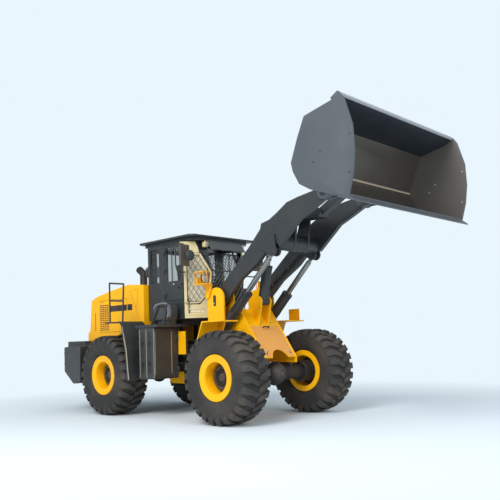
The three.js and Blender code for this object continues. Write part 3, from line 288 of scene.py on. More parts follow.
def soften(node, finish, bevel):
    """A copy of a CAD node with its sharp edges eased, shown in its place."""
    mesh = bpy.data.meshes.new(node + "_eased")
    bm = solid_copy(node)
    bm.to_mesh(mesh)
    bm.free()
    body = NODES[node]["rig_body"]
    finish_piece(node + "_eased", mesh, finish, body, [node], bevel, 2, 35)


print("pieces can be finished")

# %% [markdown]
# ## Shared surface effects
# Painted steel outdoors is never one flat colour: dust settles low down and the enamel wavers
# a little. That effect is used by nearly every finish, so it is one shader node group with its own
# sockets. It gives a colour, a roughness and a height and leaves the shader itself to each material.


# %% Node helpers
def new_group(name, inputs, outputs):
    group = bpy.data.node_groups.new(name, "ShaderNodeTree")
    for socket, kind, value in inputs:
        made = group.interface.new_socket(socket, in_out="INPUT", socket_type=kind)
        made.default_value = value
    for socket, kind in outputs:
        group.interface.new_socket(socket, in_out="OUTPUT", socket_type=kind)
    return group, group.nodes.new("NodeGroupInput"), group.nodes.new("NodeGroupOutput")


def add_node(tree, kind, **settings):
    node = tree.nodes.new("ShaderNode" + kind)
    for key, value in settings.items():
        setattr(node, key, value)
    return node


def give(tree, socket, value):
    """Link another node's output to a socket, or set the socket to a plain value."""
    if hasattr(value, "links"):
        tree.links.new(value, socket)
    else:
        socket.default_value = value


def feed(tree, node, **values):
    """Give a node its inputs by name, with an underscore for each space."""
    for name, value in values.items():
        give(tree, node.inputs[name.replace("_", " ")], value)


def noise(tree, place, scale, detail=4):
    node = add_node(tree, "TexNoise")
    feed(tree, node, Vector=place, Scale=scale, Detail=detail, Roughness=0.6)
    return node.outputs["Fac"]


def spread(tree, value, low, high, to_low=0.0, to_high=1.0):
    node = add_node(tree, "MapRange")
    feed(tree, node, Value=value, From_Min=low, From_Max=high, To_Min=to_low, To_Max=to_high)
    return node.outputs["Result"]


def maths(tree, operation, a, b):
    node = add_node(tree, "Math", operation=operation)
    for socket, value in zip(node.inputs, (a, b)):
        give(tree, socket, value)
    return node.outputs["Value"]


def mix_colour(tree, factor, a, b):
    """The inputs of a colour mix share their names with its other modes, so they go by number."""
    node = add_node(tree, "Mix", data_type="RGBA")
    for index, value in ((0, factor), (6, a), (7, b)):
        give(tree, node.inputs[index], value)
    return node.outputs[2]


print("node helpers are ready")

# %% [markdown]
# Large soft clouds of noise decide where dust lies, and it thins out with height. A finer grit
# noise roughens the surface and gives the height its grain.


# %% The weathering group
def weathering_group():
    group, given, result = new_group(
        "weathering",
        [("Colour", "NodeSocketColor", (0.5, 0.5, 0.5, 1)),
         ("Dust Colour", "NodeSocketColor", (0.4, 0.33, 0.25, 1)),
         ("Dust", "NodeSocketFloat", 0.3), ("Roughness", "NodeSocketFloat", 0.4),
         ("Variation", "NodeSocketFloat", 0.1)],
        [("Colour", "NodeSocketColor"), ("Roughness", "NodeSocketFloat"), ("Height", "NodeSocketFloat")],
    )
    place = add_node(group, "TexCoord").outputs["Object"]
    split = add_node(group, "SeparateXYZ")
    group.links.new(place, split.inputs[0])
    clouds = noise(group, place, 2.2, 5)
    grit = noise(group, place, 90, 2)
    lowness = spread(group, split.outputs["Z"], 0.2, 3.2, 1.0, 0.25)
    patches = maths(group, "MULTIPLY", spread(group, clouds, 0.42, 0.72), lowness)
    dust = maths(group, "MULTIPLY", patches, given.outputs["Dust"])
    waver = maths(group, "MULTIPLY", maths(group, "SUBTRACT", clouds, 0.5), given.outputs["Variation"])
    shade = add_node(group, "HueSaturation")
    feed(group, shade, Color=given.outputs["Colour"], Value=maths(group, "ADD", waver, 1.0))
    dulled = maths(group, "ADD", given.outputs["Roughness"], maths(group, "MULTIPLY", dust, 0.5))
    feed(
        group, result,
        Colour=mix_colour(group, dust, shade.outputs["Color"], given.outputs["Dust Colour"]),
        Roughness=maths(group, "ADD", dulled, maths(group, "MULTIPLY", grit, 0.06)),
        Height=maths(group, "ADD", grit, maths(group, "MULTIPLY", clouds, 2.0)),
    )
    return group


WEATHERING = weathering_group()
print("weathering group:", len(WEATHERING.nodes), "nodes")

# %% [markdown]
# ## Finishes
# Each finish is a Principled BSDF fed by the group above: enamel is glossy with a clear coat,
# castings are rougher, rubber is matt, and dust takes to each in its own measure.


# %% Making a finish
def srgb(text):
    channels = [int(text[i:i + 2], 16) / 255 for i in (0, 2, 4)]
    linear = [c / 12.92 if c <= 0.04045 else ((c + 0.055) / 1.055) ** 2.4 for c in channels]
    return (*linear, 1)


def new_material(name):
    material = bpy.data.materials.new(name)
    material.use_nodes = True
    return material, material.node_tree, material.node_tree.nodes["Principled BSDF"]


def weathered(
    name, colour, roughness, dust=0.3, variation=0.25, metallic=0.0, coat=0.0, bump=0.02,
    dust_colour="A89478",
):
    material, tree, shader = new_material(name)
    wear = add_node(tree, "Group")
    wear.node_tree = WEATHERING
    feed(
        tree, wear, Colour=srgb(colour), Dust_Colour=srgb(dust_colour), Dust=dust,
        Roughness=roughness, Variation=variation,
    )
    relief = add_node(tree, "Bump")
    feed(tree, relief, Strength=bump, Distance=0.01, Height=wear.outputs["Height"])
    feed(
        tree, shader, Base_Color=wear.outputs["Colour"], Roughness=wear.outputs["Roughness"],
        Normal=relief.outputs["Normal"], Metallic=metallic, Coat_Weight=coat, Coat_Roughness=0.15,
    )
    return material


print("a finish can be made from a name, a colour and a few measures")

# %% [markdown]
# The enamels, castings, plastics, metals and rubber follow, each a colour, a roughness and how much
# dust it takes. The tyres share the settings of old rubber.

# %% The painted, cast and worn finishes
YELLOW = weathered("yellow enamel", "FFB800", 0.42, dust=0.08, coat=0.05, dust_colour="DC8E1E")
GREY = weathered("grey enamel", "45494C", 0.38, dust=0.08, coat=0.2)
DARK = weathered("dark enamel", "2C3033", 0.42, dust=0.08, coat=0.1)
CASTING = weathered("painted casting", "232425", 0.5, dust=0.2)
WORN_STEEL = weathered(
    "worn plate inside the bucket", "4B4742", 0.30, dust=0.25, metallic=0.35, dust_colour="6B5F50",
)
SADDLE = weathered("dusty brown plastic", "4E4640", 0.55, dust=0.2)
SAND = weathered("sand enamel", "D3C493", 0.45, dust=0.1)
MOULDED = weathered("moulded black plastic", "35383A", 0.5, dust=0.2, bump=0.06)
RUBBER = weathered("hose rubber", "1D1D1E", 0.55, dust=0.2)
ZINC = weathered("zinc fittings", "C9CCCE", 0.3, dust=0.1, metallic=0.9)
WIRE = weathered("galvanised mesh", "857C68", 0.5, dust=0.15)
FILM = weathered("pale sun film", "D2CAB0", 0.3, dust=0.12)
WORN_SIDES = weathered("worn side plates", "6B6864", 0.35, dust=0.2, metallic=0.2, dust_colour="6B5F50")
# A pale colour for the strip on the bucket's bend above the floor: a painted highlight.
BEND_HIGHLIGHT = weathered("painted bend highlight", "BDAF98", 0.35, dust=0.35, metallic=0.3, dust_colour="6B5F50")
PRIMED_LIP = weathered("primed lip", "A6A9B4", 0.45, dust=0.08)
DUSTY_YELLOW = weathered("dusty yellow enamel", "DF9C4A", 0.55, dust=0.12, dust_colour="C98F6A")
# A lighter grey for the band round the deck cover's shoulders: a painted highlight.
SHOULDER_HIGHLIGHT = weathered("painted shoulder highlight", "67707A", 0.35, dust=0.1, coat=0.2)
OILY = weathered("oily casting", "171A1E", 0.3, dust=0.12, coat=0.4)
WHITE_BOWL = weathered("lamp reflector", "DADDDE", 0.2, dust=0.05, metallic=0.2)
HUB_BROWN = weathered("dusty hub casting", "3E3B39", 0.55, dust=0.15)
SEAT_CLOTH = weathered("seat cloth", "2B2D30", 0.9, dust=0.05, bump=0.1)
BLUE_STEEL = weathered("blue steel fittings", "3A4350", 0.35, dust=0.1, metallic=0.5)
PALE_STEEL = weathered("pale edge strips", "9C977F", 0.5, dust=0.1)
BUCKET_GREY = weathered("bucket enamel", "474D53", 0.4, dust=0.06, coat=0.1)
NIGHT_BLUE = weathered("dark blue enamel", "222A33", 0.35, dust=0.1, coat=0.1)
AMBER_SEAM = weathered("shadowed seam", "A86E08", 0.6, dust=0.1)
RUBBER_AGED = dict(variation=0.5, bump=0.2, dust_colour="8A7B69")
TYRE = weathered("tyre lugs", "323130", 0.72, dust=0.32, **RUBBER_AGED)
# The carcass colour is a little darker than the lugs' as painted shade in the grooves between them; it
# also takes less dust.
TYRE_WALL = weathered("tyre carcass", "2A2929", 0.72, dust=0.22, **RUBBER_AGED)
CHROMED = weathered("hard chrome rod", "8F8D89", 0.16, dust=0.05, metallic=1.0, bump=0.004)
YELLOW.node_tree.nodes["Principled BSDF"].inputs["Specular IOR Level"].default_value = 0.3
print("enamels, castings, metals and rubber:", len(bpy.data.materials))

# %% [markdown]
# Glass is a transmitting shader with faint smears in its roughness. A lens lets less light through
# the more it is coloured.


# %% Glass and lenses
def glassy(name, colour, roughness, transmission=1.0):
    material, tree, shader = new_material(name)
    place = add_node(tree, "TexCoord").outputs["Object"]
    smears = spread(tree, noise(tree, place, 3.0), 0.35, 0.75, roughness, roughness + 0.06)
    feed(
        tree, shader, Roughness=smears, Base_Color=srgb(colour), Transmission_Weight=transmission,
        IOR=1.45,
    )
    return material


GLASS = glassy("window glass", "F3F5F4", 0.02)
LENS = glassy("clear lamp lens", "F4F6F4", 0.05, 0.7)
RED_LENS = glassy("red lamp lens", "B3201A", 0.15, 0.35)
AMBER_LENS = glassy("amber lamp lens", "E87A12", 0.15, 0.35)
print("all finishes:", [m.name for m in bpy.data.materials])

# %% [markdown]
# ## Wheels
# A loader's tyre is a turned carcass with a bulging wall, and two rows of heavy lugs that run from
# the middle of the tread down over the shoulder. One lug is drawn as a short beam that follows the
# carcass. Copies of it are spun round the axle, and the second row sits half a step further on.

# %% Tyres
CARCASS = [
    (0.322, 0.238), (0.345, 0.240), (0.384, 0.240), (0.400, 0.262), (0.430, 0.282), (0.490, 0.295),
    (0.560, 0.298), (0.620, 0.294), (0.672, 0.279), (0.704, 0.252), (0.720, 0.205), (0.725, 0.110),
]
LUG_PATH = [
    # (distance from the middle, top radius, foot radius, lead round the tyre in degrees, half width)
    (0.012, 0.769, 0.700, 0.0, 0.040), (0.090, 0.769, 0.700, 1.6, 0.042),
    (0.165, 0.768, 0.700, 4.8, 0.046), (0.225, 0.762, 0.695, 5.8, 0.054),
    (0.268, 0.745, 0.680, 6.0, 0.058), (0.291, 0.712, 0.655, 6.0, 0.058),
    (0.2995, 0.655, 0.630, 6.0, 0.050),
]
TREAD_RADIUS = 0.769
FOOT_INSET = 0.018  # how much nearer the middle a lug's foot stays than its top
LUGS = 26


def add_lug(bm, centre, side, lead):
    rings = []
    for across, top, foot, turn, half in LUG_PATH:
        ring = []
        for radius, sweep in ((top, -half), (top, half), (foot, half), (foot, -half)):
            angle = radians(turn + lead) + sweep / TREAD_RADIUS
            width = across if radius == top else across - FOOT_INSET
            corner = Vector((radius * cos(angle), side * width, radius * sin(angle)))
            ring.append(bm.verts.new(centre + corner))
        rings.append(ring)
    for a, b in zip(rings, rings[1:]):
        for i in range(4):
            bm.faces.new((a[i], a[(i + 1) % 4], b[(i + 1) % 4], b[i]))
    bm.faces.new(rings[0])
    bm.faces.new(rings[-1])


def add_spun(bm, make, centre, count, axis=(0, 1, 0)):
    """What one call makes, copied round an axis."""
    start = len(bm.verts)
    make()
    bm.verts.ensure_lookup_table()
    verts = bm.verts[start:]
    faces = {face for vert in verts for face in vert.link_faces}
    edges = {edge for vert in verts for edge in vert.link_edges}
    bmesh.ops.spin(
        bm, geom=list(verts) + list(edges) + list(faces), cent=centre, axis=axis,
        angle=tau * (count - 1) / count, steps=count - 1, use_duplicate=True,
    )


def make_tyre(end, side, s):
    centre = joint_at(f"wheel_{end}_{side}_spin")
    bm = bmesh.new()
    add_turned(bm, CARCASS + [(r, -d) for r, d in reversed(CARCASS)], centre, steps=96)
    # The carcass faces take the darker colour, painted shade in the grooves.
    for face in bm.faces:
        face.material_index = 1
    for row, lead in ((1, 0.0), (-1, 180 / LUGS)):
        add_spun(bm, lambda: add_lug(bm, centre, row, lead), centre, LUGS)
    piece(
        f"tyre_{end}_{side}_lugged", bm, [TYRE, TYRE_WALL], f"wheel_{end}_{side}",
        [f"tyre_{end}_{side}"], bevel=0.005, smooth=40,
    )


for wheel in WHEELS:
    make_tyre(*wheel)
print("tyres:", len(WHEELS), "with", 2 * LUGS, "lugs each")

# %% [markdown]
# A wide rim is a ring with a rolled flange at each edge. The hub set inside it is a brown casting
# with a flat face, a circle of wheel nuts, a smaller circle of bolts and two plugs in its middle.

# %% Rims and hubs
RIM_RING = [
    (0.321, -0.238), (0.378, -0.242), (0.381, -0.250), (0.372, -0.264), (0.290, -0.264), (0.280, -0.254),
    (0.276, -0.070), (0.254, -0.050), (0.254, 0.225), (0.262, 0.248), (0.300, 0.258), (0.345, 0.260),
    (0.352, 0.264), (0.372, 0.264), (0.381, 0.256), (0.381, 0.242), (0.321, 0.238),
]
HUB = [
    (0.0, 0.108), (0.062, 0.108), (0.068, 0.105), (0.072, 0.102), (0.146, 0.102), (0.190, 0.098),
    (0.214, 0.086), (0.220, 0.060), (0.220, -0.010), (0.255, -0.040), (0.255, -0.070), (0.200, -0.075),
    (0.196, -0.110), (0.190, -0.224), (0.0, -0.224),
]
NUTS = 20


def make_rim(end, side, s):
    centre = joint_at(f"wheel_{end}_{side}_spin")
    body = f"wheel_{end}_{side}"
    ring = bmesh.new()
    add_turned(ring, [(r, s * d) for r, d in RIM_RING], centre, steps=72)
    piece(body + "_rim", ring, YELLOW, body, [f"wheel_rim_{end}_{side}"], bevel=0.002)
    hub = bmesh.new()
    add_turned(hub, [(r, s * d) for r, d in HUB], centre, steps=56)
    for circle, out, size, length in ((0.184, 0.094, 0.012, 0.016), (0.108, 0.096, 0.009, 0.014)):
        start = centre + Vector((circle, s * out, 0))
        tip = start + Vector((0, s * length, 0))
        add_spun(hub, lambda: add_rod(hub, start, tip, size, 6), centre, NUTS)
    for reach in (0.04, -0.04):
        plug = centre + Vector((reach, s * 0.104, 0))
        add_rod(hub, plug, plug + Vector((0, s * 0.010, 0)), 0.010, 6)
    piece(body + "_hub", hub, HUB_BROWN, body, bevel=0.002)


for wheel in WHEELS:
    make_rim(*wheel)
print("rims and hubs: 4 of each")

# %% [markdown]
# ## Finishing the ready-made solids
# Most of the frame's solids need only two things: eased edges, which catch the light as real
# plate edges do, and a finish of their own. A table says which solid gets which.

# %% Eased solids
EASED = [
    (("rear_frame", "front_axle", "rear_axle"), CASTING, "dark_grey_paint", 0.004),
    (("boom", "bellcrank", "bucket_link"), DARK, "dark_grey_paint", 0.004),
    (("lift_cylinder_right_barrel", "lift_cylinder_left_barrel", "tilt_cylinder_barrel",
      "steering_cylinder_right_barrel", "steering_cylinder_left_barrel"), DARK, "dark_grey_paint", 0.002),
    (("lift_cylinder_right_rod", "lift_cylinder_left_rod", "tilt_cylinder_rod",
      "steering_cylinder_right_rod", "steering_cylinder_left_rod"), CHROMED, "chrome", 0.0),
    (("counterweight",), DARK, "dark_grey_paint", 0.012),
    (("engine_block", "transmission"), CASTING, "bare_casting", 0.005),
    (("drive_shaft_front", "drive_shaft_rear"), CASTING, "bare_casting", 0.002),
    (("hood", "hood_door_right", "hood_door_left", "front_frame"), YELLOW, "yellow_paint", 0.004),
    (("front_fender_right", "front_fender_left"), YELLOW, "yellow_paint", 0.003),
    (("rear_fender_right", "rear_fender_left", "side_box_right", "side_box_door", "fuel_tank_ladder"),
     DARK, "dark_grey_paint", 0.003),
    (("cab_body", "cab_door_right", "cab_door_left"), DARK, "dark_grey_paint", 0.003),
    (("radiator_grille",), MOULDED, "black_plastic", 0.002),
]
for nodes, finish, slot_name, bevel in EASED:
    for node in nodes:
        soften(node, finish, bevel)
for node in ("windscreen", "rear_glass", "door_glass_right", "door_glass_left"):
    soften(node, GLASS, 0.0)
print("eased solids:", sum(len(nodes) for nodes, *_ in EASED))

# %% [markdown]
# ## The cab's guards
# Lengths are easiest counted from the steering hinge, so `at` turns a distance ahead of the hinge,
# a distance to the left and a height above the ground into a point. The two slanted front quarters
# of the cab are flat, and each gets a frame of its own: along the quarter, up, and outward.


# %% Frames of the slanted quarters
def at(x, y, z):
    return Vector((STEER_PIN.x + x, y, z))


def hinge_plate(bm, outline, y0, y1):
    """A side plate whose outline counts x from the steering hinge."""
    side_plate(bm, [(STEER_PIN.x + x, z) for x, z in outline], y0, y1)


def quarter_frame(s):
    along = Vector((0.33, -0.35 * s, 0)).normalized()
    out = Vector((0.35, 0.33 * s, 0)).normalized()
    return axes_frame(along, Vector((0, 0, 1)), out, at(0.17, 0.75 * s, 0))


def flat_plate(bm, turn, outline, low, high):
    """An outline in a flat frame, from one distance outward to another."""
    corners = [turn @ Vector((u, v, low)) for u, v in outline]
    add_plate(bm, corners, turn.to_3x3() @ Vector((0, 0, high - low)))


def strip(bm, turn, a, b, width, low, high):
    a, b = Vector(a), Vector(b)
    along = (b - a).normalized()
    across = Vector((-along.y, along.x)) * width / 2
    ends = (a - along * width / 2, b + along * width / 2)
    outline = [ends[0] - across, ends[1] - across, ends[1] + across, ends[0] + across]
    flat_plate(bm, turn, outline, low, high)


def border(bm, turn, outline, width, low, high):
    for a, b in zip(outline, outline[1:] + outline[:1]):
        strip(bm, turn, a, b, width, low, high)


def clip_line(outline, point, along):
    """The part of a line inside a convex outline, as two distances along it."""
    low, high = -1e9, 1e9
    for a, b in zip(outline, outline[1:] + outline[:1]):
        a, b = Vector(a), Vector(b)
        inward = Vector((a.y - b.y, b.x - a.x))
        slope, gap = along.dot(inward), (a - point).dot(inward)
        if abs(slope) < 1e-9:
            if gap > 0:
                return None
        elif slope > 0:
            low = max(low, gap / slope)
        else:
            high = min(high, gap / slope)
    return (low, high) if high - low > 0.01 else None


def diamond_mesh(bm, turn, outline, pitch, tilt, radius, out):
    """Two families of slanted bars that fill a convex outline, given anticlockwise."""
    middle = sum((Vector(p) for p in outline), Vector((0, 0))) / len(outline)
    for sign in (1, -1):
        along = Vector((cos(radians(tilt)), sign * sin(radians(tilt))))
        across = Vector((-along.y, along.x))
        for i in range(-40, 41):
            start = middle + across * pitch * i
            ends = clip_line(outline, start, along)
            if ends:
                a, b = (turn @ Vector((*(start + along * t), out + sign * radius * 0.8)) for t in ends)
                add_rod(bm, a, b, radius, 4)


print("flat frames, borders and diamond meshes are ready")

# %% [markdown]
# Each quarter has a sand coloured panel low down with a grip in it, and a sand coloured border
# above it. The wires in the border and the pale film behind them are pieces of their own. The
# border's lower front corner is cut off by a slanting edge with a dark rubber seal.

# %% Quarter guards
MESH_OUTLINE = [
    (0.035, 2.08), (0.270, 2.08), (0.452, 2.27), (0.500, 2.63), (0.300, 2.98), (0.035, 2.98),
]
PANEL_OUTLINE = [
    (0.0, 1.80), (0.455, 1.80), (0.478, 2.24), (0.452, 2.27), (0.270, 2.08), (0.035, 2.08), (0.0, 2.08),
]
TOP_CORNER = [(-0.06, 3.00), (0.29, 3.00), (0.27, 3.10), (0.22, 3.21), (-0.06, 3.21)]
SEAL_PATH = [(0.08, 1.90, 0.01), (0.08, 1.90, 0.05), (0.08, 2.16, 0.05), (0.08, 2.16, 0.01)]
QUARTER_PANE = [(0.03, 2.11), (0.47, 2.11), (0.47, 3.05), (0.03, 3.05)]
for side, s in SIDES:
    turn = quarter_frame(s)
    bm = bmesh.new()
    flat_plate(bm, turn, PANEL_OUTLINE, 0.002, 0.012)
    border(bm, turn, MESH_OUTLINE, 0.030, 0.002, 0.020)
    strip(bm, turn, (0.012, 2.10), (0.012, 3.10), 0.026, 0.002, 0.014)
    strip(bm, turn, (0.01, 1.855), (0.45, 1.855), 0.012, 0.010, 0.018)
    flat_plate(bm, turn, TOP_CORNER, 0.004, 0.034)
    piece(f"quarter_guard_{side}", bm, SAND, "root", bevel=0.0015)
    wires = bmesh.new()
    diamond_mesh(wires, turn, MESH_OUTLINE, 0.080, 58, 0.0050, 0.011)
    piece(f"quarter_mesh_{side}", wires, WIRE, "root")
    film = bmesh.new()
    flat_plate(film, turn, MESH_OUTLINE, -0.026, -0.022)
    piece(f"quarter_film_{side}", film, FILM, "root")
    seal = bmesh.new()
    for a, b in zip(((0.05, 2.062), (0.275, 2.062)), ((0.275, 2.062), (0.460, 2.255))):
        strip(seal, turn, a, b, 0.014, 0.018, 0.026)
    add_tube(seal, [turn @ Vector(p) for p in SEAL_PATH], 0.009, 0.02)
    piece(f"quarter_seal_{side}", seal, MOULDED, "root")
    grip = bmesh.new()
    oval = circle_points((0.11, 1.94), 0.026, 90, 270, 10)
    oval += circle_points((0.33, 1.94), 0.026, -90, 90, 10)
    oval = [turn @ Vector((u, v, 0.014)) for u, v in oval]
    add_tube(grip, oval + oval[:1], 0.006, 0.0, 2)
    piece(f"quarter_grip_{side}", grip, ZINC, "root")
    pane = bmesh.new()
    flat_plate(pane, turn, QUARTER_PANE, -0.034, -0.028)
    piece(f"quarter_glass_{side}", pane, GLASS, "root")
    pane = bmesh.new()
    add_box(pane, at(-0.826, s * 0.728, 2.514), at(-0.564, s * 0.722, 3.146))
    piece(f"side_rear_glass_{side}", pane, GLASS, "root")
print("quarter guards:", len(SIDES))

# %% [markdown]
# The windscreen has the same mesh in dark grey. It follows the glass in two flat runs, one below
# and one above the fold.

# %% Windscreen guard
def leaning_frame(x0, z0, x1, z1):
    """A frame across the cab: along is to the machine's right, up follows the slope."""
    slope = at(x1, 0, z1) - at(x0, 0, z0)
    up, along = slope.normalized(), Vector((0, 1, 0))
    return axes_frame(along, up, along.cross(up), at(x0, 0, z0)), slope.length


bm = bmesh.new()
for x0, z0, x1, z1 in ((0.505, 2.02, 0.575, 2.66), (0.575, 2.66, 0.425, 3.00)):
    turn, length = leaning_frame(x0, z0, x1, z1)
    outline = [(-0.40, 0.0), (0.40, 0.0), (0.40, length), (-0.40, length)]
    border(bm, turn, outline, 0.022, -0.008, 0.008)
    diamond_mesh(bm, turn, outline, 0.066, 58, 0.0062, 0.0)
piece("windscreen_guard", bm, GREY, "root", bevel=0.001)
print("the windscreen's guard is on")

# %% [markdown]
# The roof is a thin panel with cut corners on a narrower one below it. The visor leans forward from
# its front edge between two lamps.

# %% Roof, visor and roof lamps
bm = bmesh.new()
edge = [
    (-1.10, -0.77), (-1.05, -0.83), (0.43, -0.83), (0.50, -0.77),
    (0.50, 0.77), (0.43, 0.83), (-1.05, 0.83), (-1.10, 0.77),
]
add_plate(bm, [at(x, y, 3.283) for x, y in edge], (0, 0, 0.037))
under = [
    (-1.0, -0.735), (0.34, -0.735), (0.46, -0.62), (0.46, 0.62), (0.34, 0.735), (-1.0, 0.735),
]
add_plate(bm, [at(x, y, 3.221) for x, y in under], (0, 0, 0.064))
piece(
    "roof_panel", bm, DARK, "root", ["cab_roof"], bevel=0.006, segments=3,
)

bm = bmesh.new()
visor = [at(0.47, -0.44, 3.215), at(0.60, -0.44, 3.04), at(0.60, 0.44, 3.04), at(0.47, 0.44, 3.215)]
add_plate(bm, visor, (0.012, 0, 0.012))
add_box(bm, at(0.43, -0.43, 3.18), at(0.50, 0.43, 3.225))
piece("front_visor", bm, GREY, "root", bevel=0.003)

bm = bmesh.new()
lenses = bmesh.new()
for y in (-0.46, 0.46):
    add_box(bm, at(0.42, y - 0.052, 3.10), at(0.50, y + 0.052, 3.195))
    add_rod(lenses, at(0.499, y, 3.147), at(0.507, y, 3.147), 0.038, 24)
    add_box(bm, at(0.44, y - 0.012, 3.19), at(0.47, y + 0.012, 3.225))
piece("roof_lamps", bm, SAND, "root", bevel=0.012, segments=3)
piece("roof_lamp_lenses", lenses, LENS, "root", bevel=0.003)
print("roof, visor and roof lamps are on")

# %% [markdown]
# The doors get a thin mullion, a handle and a round lock. The mirrors hang on bent tubes: a tall
# head in dusty brown plastic and, ahead of it, a round one. From the machine's front both show
# their backs.

# %% Door fittings and mirrors
MIRROR_DISC = [
    (0.0, 0.028), (0.05, 0.024), (0.085, 0.008), (0.095, -0.004), (0.090, -0.014), (0.0, -0.014),
]
for side, s in SIDES:
    body = f"cab_door_{side}_leaf"
    fittings = bmesh.new()
    add_box(fittings, at(-0.180, s * 0.742, 2.50), at(-0.160, s * 0.756, 3.145))
    add_box(fittings, at(0.020, s * 0.748, 2.36), at(0.12, s * 0.762, 2.46))
    handle = [
        at(0.035, s * 0.76, 2.38), at(0.035, s * 0.795, 2.38),
        at(0.105, s * 0.795, 2.44), at(0.105, s * 0.76, 2.44),
    ]
    add_tube(fittings, handle, 0.008, 0.015)
    piece(f"door_fittings_{side}", fittings, MOULDED, body, bevel=0.002)
    lock = bmesh.new()
    add_rod(lock, at(-0.12, s * 0.748, 2.45), at(-0.12, s * 0.764, 2.45), 0.020, 24)
    piece(f"door_lock_{side}", lock, ZINC, body, bevel=0.003)
    arms = bmesh.new()
    foot = quarter_frame(s) @ Vector((0.030, 2.65, 0.002))
    long_arm = [
        foot, at(0.30, s * 1.0, 2.62), at(0.35, s * 1.09, 2.74), at(0.35, s * 1.09, 3.08),
        at(0.39, s * 1.0, 3.135), at(0.40, s * 0.93, 3.12),
    ]
    stalk = [at(0.41, s * 0.93, 2.93), at(0.48, s * 0.90, 2.92), at(0.54, s * 0.90, 2.91)]
    brace = [foot + Vector((0, 0, 0.22)), at(0.30, s * 0.84, 2.86), at(0.39, s * 0.88, 2.84)]
    for path, radius, bend in ((long_arm, 0.013, 0.08), (stalk, 0.011, 0.03), (brace, 0.010, 0.06)):
        add_tube(arms, path, radius, bend)
    piece(f"mirror_arms_{side}", arms, MOULDED, "root")
    head = bmesh.new()
    add_box(head, at(0.385, s * 0.82, 2.73), at(0.432, s * 1.045, 3.118))
    piece(
        f"mirror_head_{side}", head, SADDLE, "root", [f"mirror_{side}"],
        bevel=0.020, segments=4,
    )
    disc = bmesh.new()
    add_turned(disc, MIRROR_DISC, at(0.545, s * 0.90, 2.91), (1, 0, 0), 40)
    piece(f"mirror_disc_{side}", disc, MOULDED, "root")
print("doors and mirrors are fitted")

# %% [markdown]
# Each work lamp sits in a yellow cage on an arm from the boom tower: two plates joined by upright
# bars, with a round lamp looking forward inside. A pale reflector shows behind the lens.

# %% Work lamps
LAMP_SHELL = [(0.0, 0.0), (0.04, 0.005), (0.072, 0.05), (0.082, 0.09), (0.082, 0.10), (0.0, 0.098)]
LAMP_LENS = [(0.0, 0.012), (0.05, 0.008), (0.074, 0.0), (0.0, 0.0)]
LAMP_ARM = [(0.69, 2.13), (0.76, 2.13), (0.83, 2.30), (0.85, 2.37), (0.63, 2.37), (0.70, 2.30)]
for side, s in SIDES:
    cage = bmesh.new()
    y0, y1 = s * 0.70, s * 0.90
    for z in (2.370, 2.588):
        add_box(cage, at(0.61, y0, z), at(0.86, y1, z + 0.012))
    for x, y in ((0.615, y0 + s * 0.006), (0.615, y1 - s * 0.006)):
        add_box(cage, at(x - 0.005, y - 0.006, 2.37), at(x + 0.005, y + 0.006, 2.60))
    add_box(cage, at(0.635, y0 + s * 0.02, 2.38), at(0.645, y1 - s * 0.04, 2.50))
    middle_y = (y0 + y1) / 2
    for x, y in ((0.70, y1), (0.78, y1), (0.855, y1), (0.855, middle_y), (0.855, y0), (0.78, y0)):
        y_in = y - s * 0.004 if y == y1 else y + s * 0.004 if y == y0 else y
        add_rod(cage, at(x, y_in, 2.375), at(x, y_in, 2.595), 0.0045, 8)
    hinge_plate(cage, LAMP_ARM, s * 0.672, s * 0.70)
    add_box(cage, at(0.62, s * 0.672, 2.362), at(0.855, s * 0.72, 2.374))
    piece(
        f"lamp_cage_{side}", cage, YELLOW, "front", [f"work_lamp_{side}"],
        bevel=0.0015,
    )
    lamp = bmesh.new()
    middle = at(0.70, s * 0.80, 2.48)
    add_turned(lamp, LAMP_SHELL, middle, (1, 0, 0), 36)
    add_rod(lamp, at(0.75, s * 0.80, 2.38), at(0.75, s * 0.80, 2.41), 0.014, 12)
    piece(f"work_lamp_{side}_shell", lamp, MOULDED, "front", bevel=0.002)
    lens = bmesh.new()
    add_turned(lens, LAMP_LENS, middle + Vector((0.101, 0, 0)), (1, 0, 0), 36)
    piece(f"work_lamp_{side}_lens", lens, LENS, "front")
    bowl = bmesh.new()
    add_rod(bowl, middle + Vector((0.094, 0, 0)), middle + Vector((0.1005, 0, 0)), 0.073, 32)
    piece(f"work_lamp_{side}_bowl", bowl, WHITE_BOWL, "front")
print("work lamps:", len(SIDES))

# %% [markdown]
# ## Hood and rear
# Rows of small louvres breathe on each hood door and swing up with it. A bare black band runs along
# the side, in two parts that meet at the door's edge.

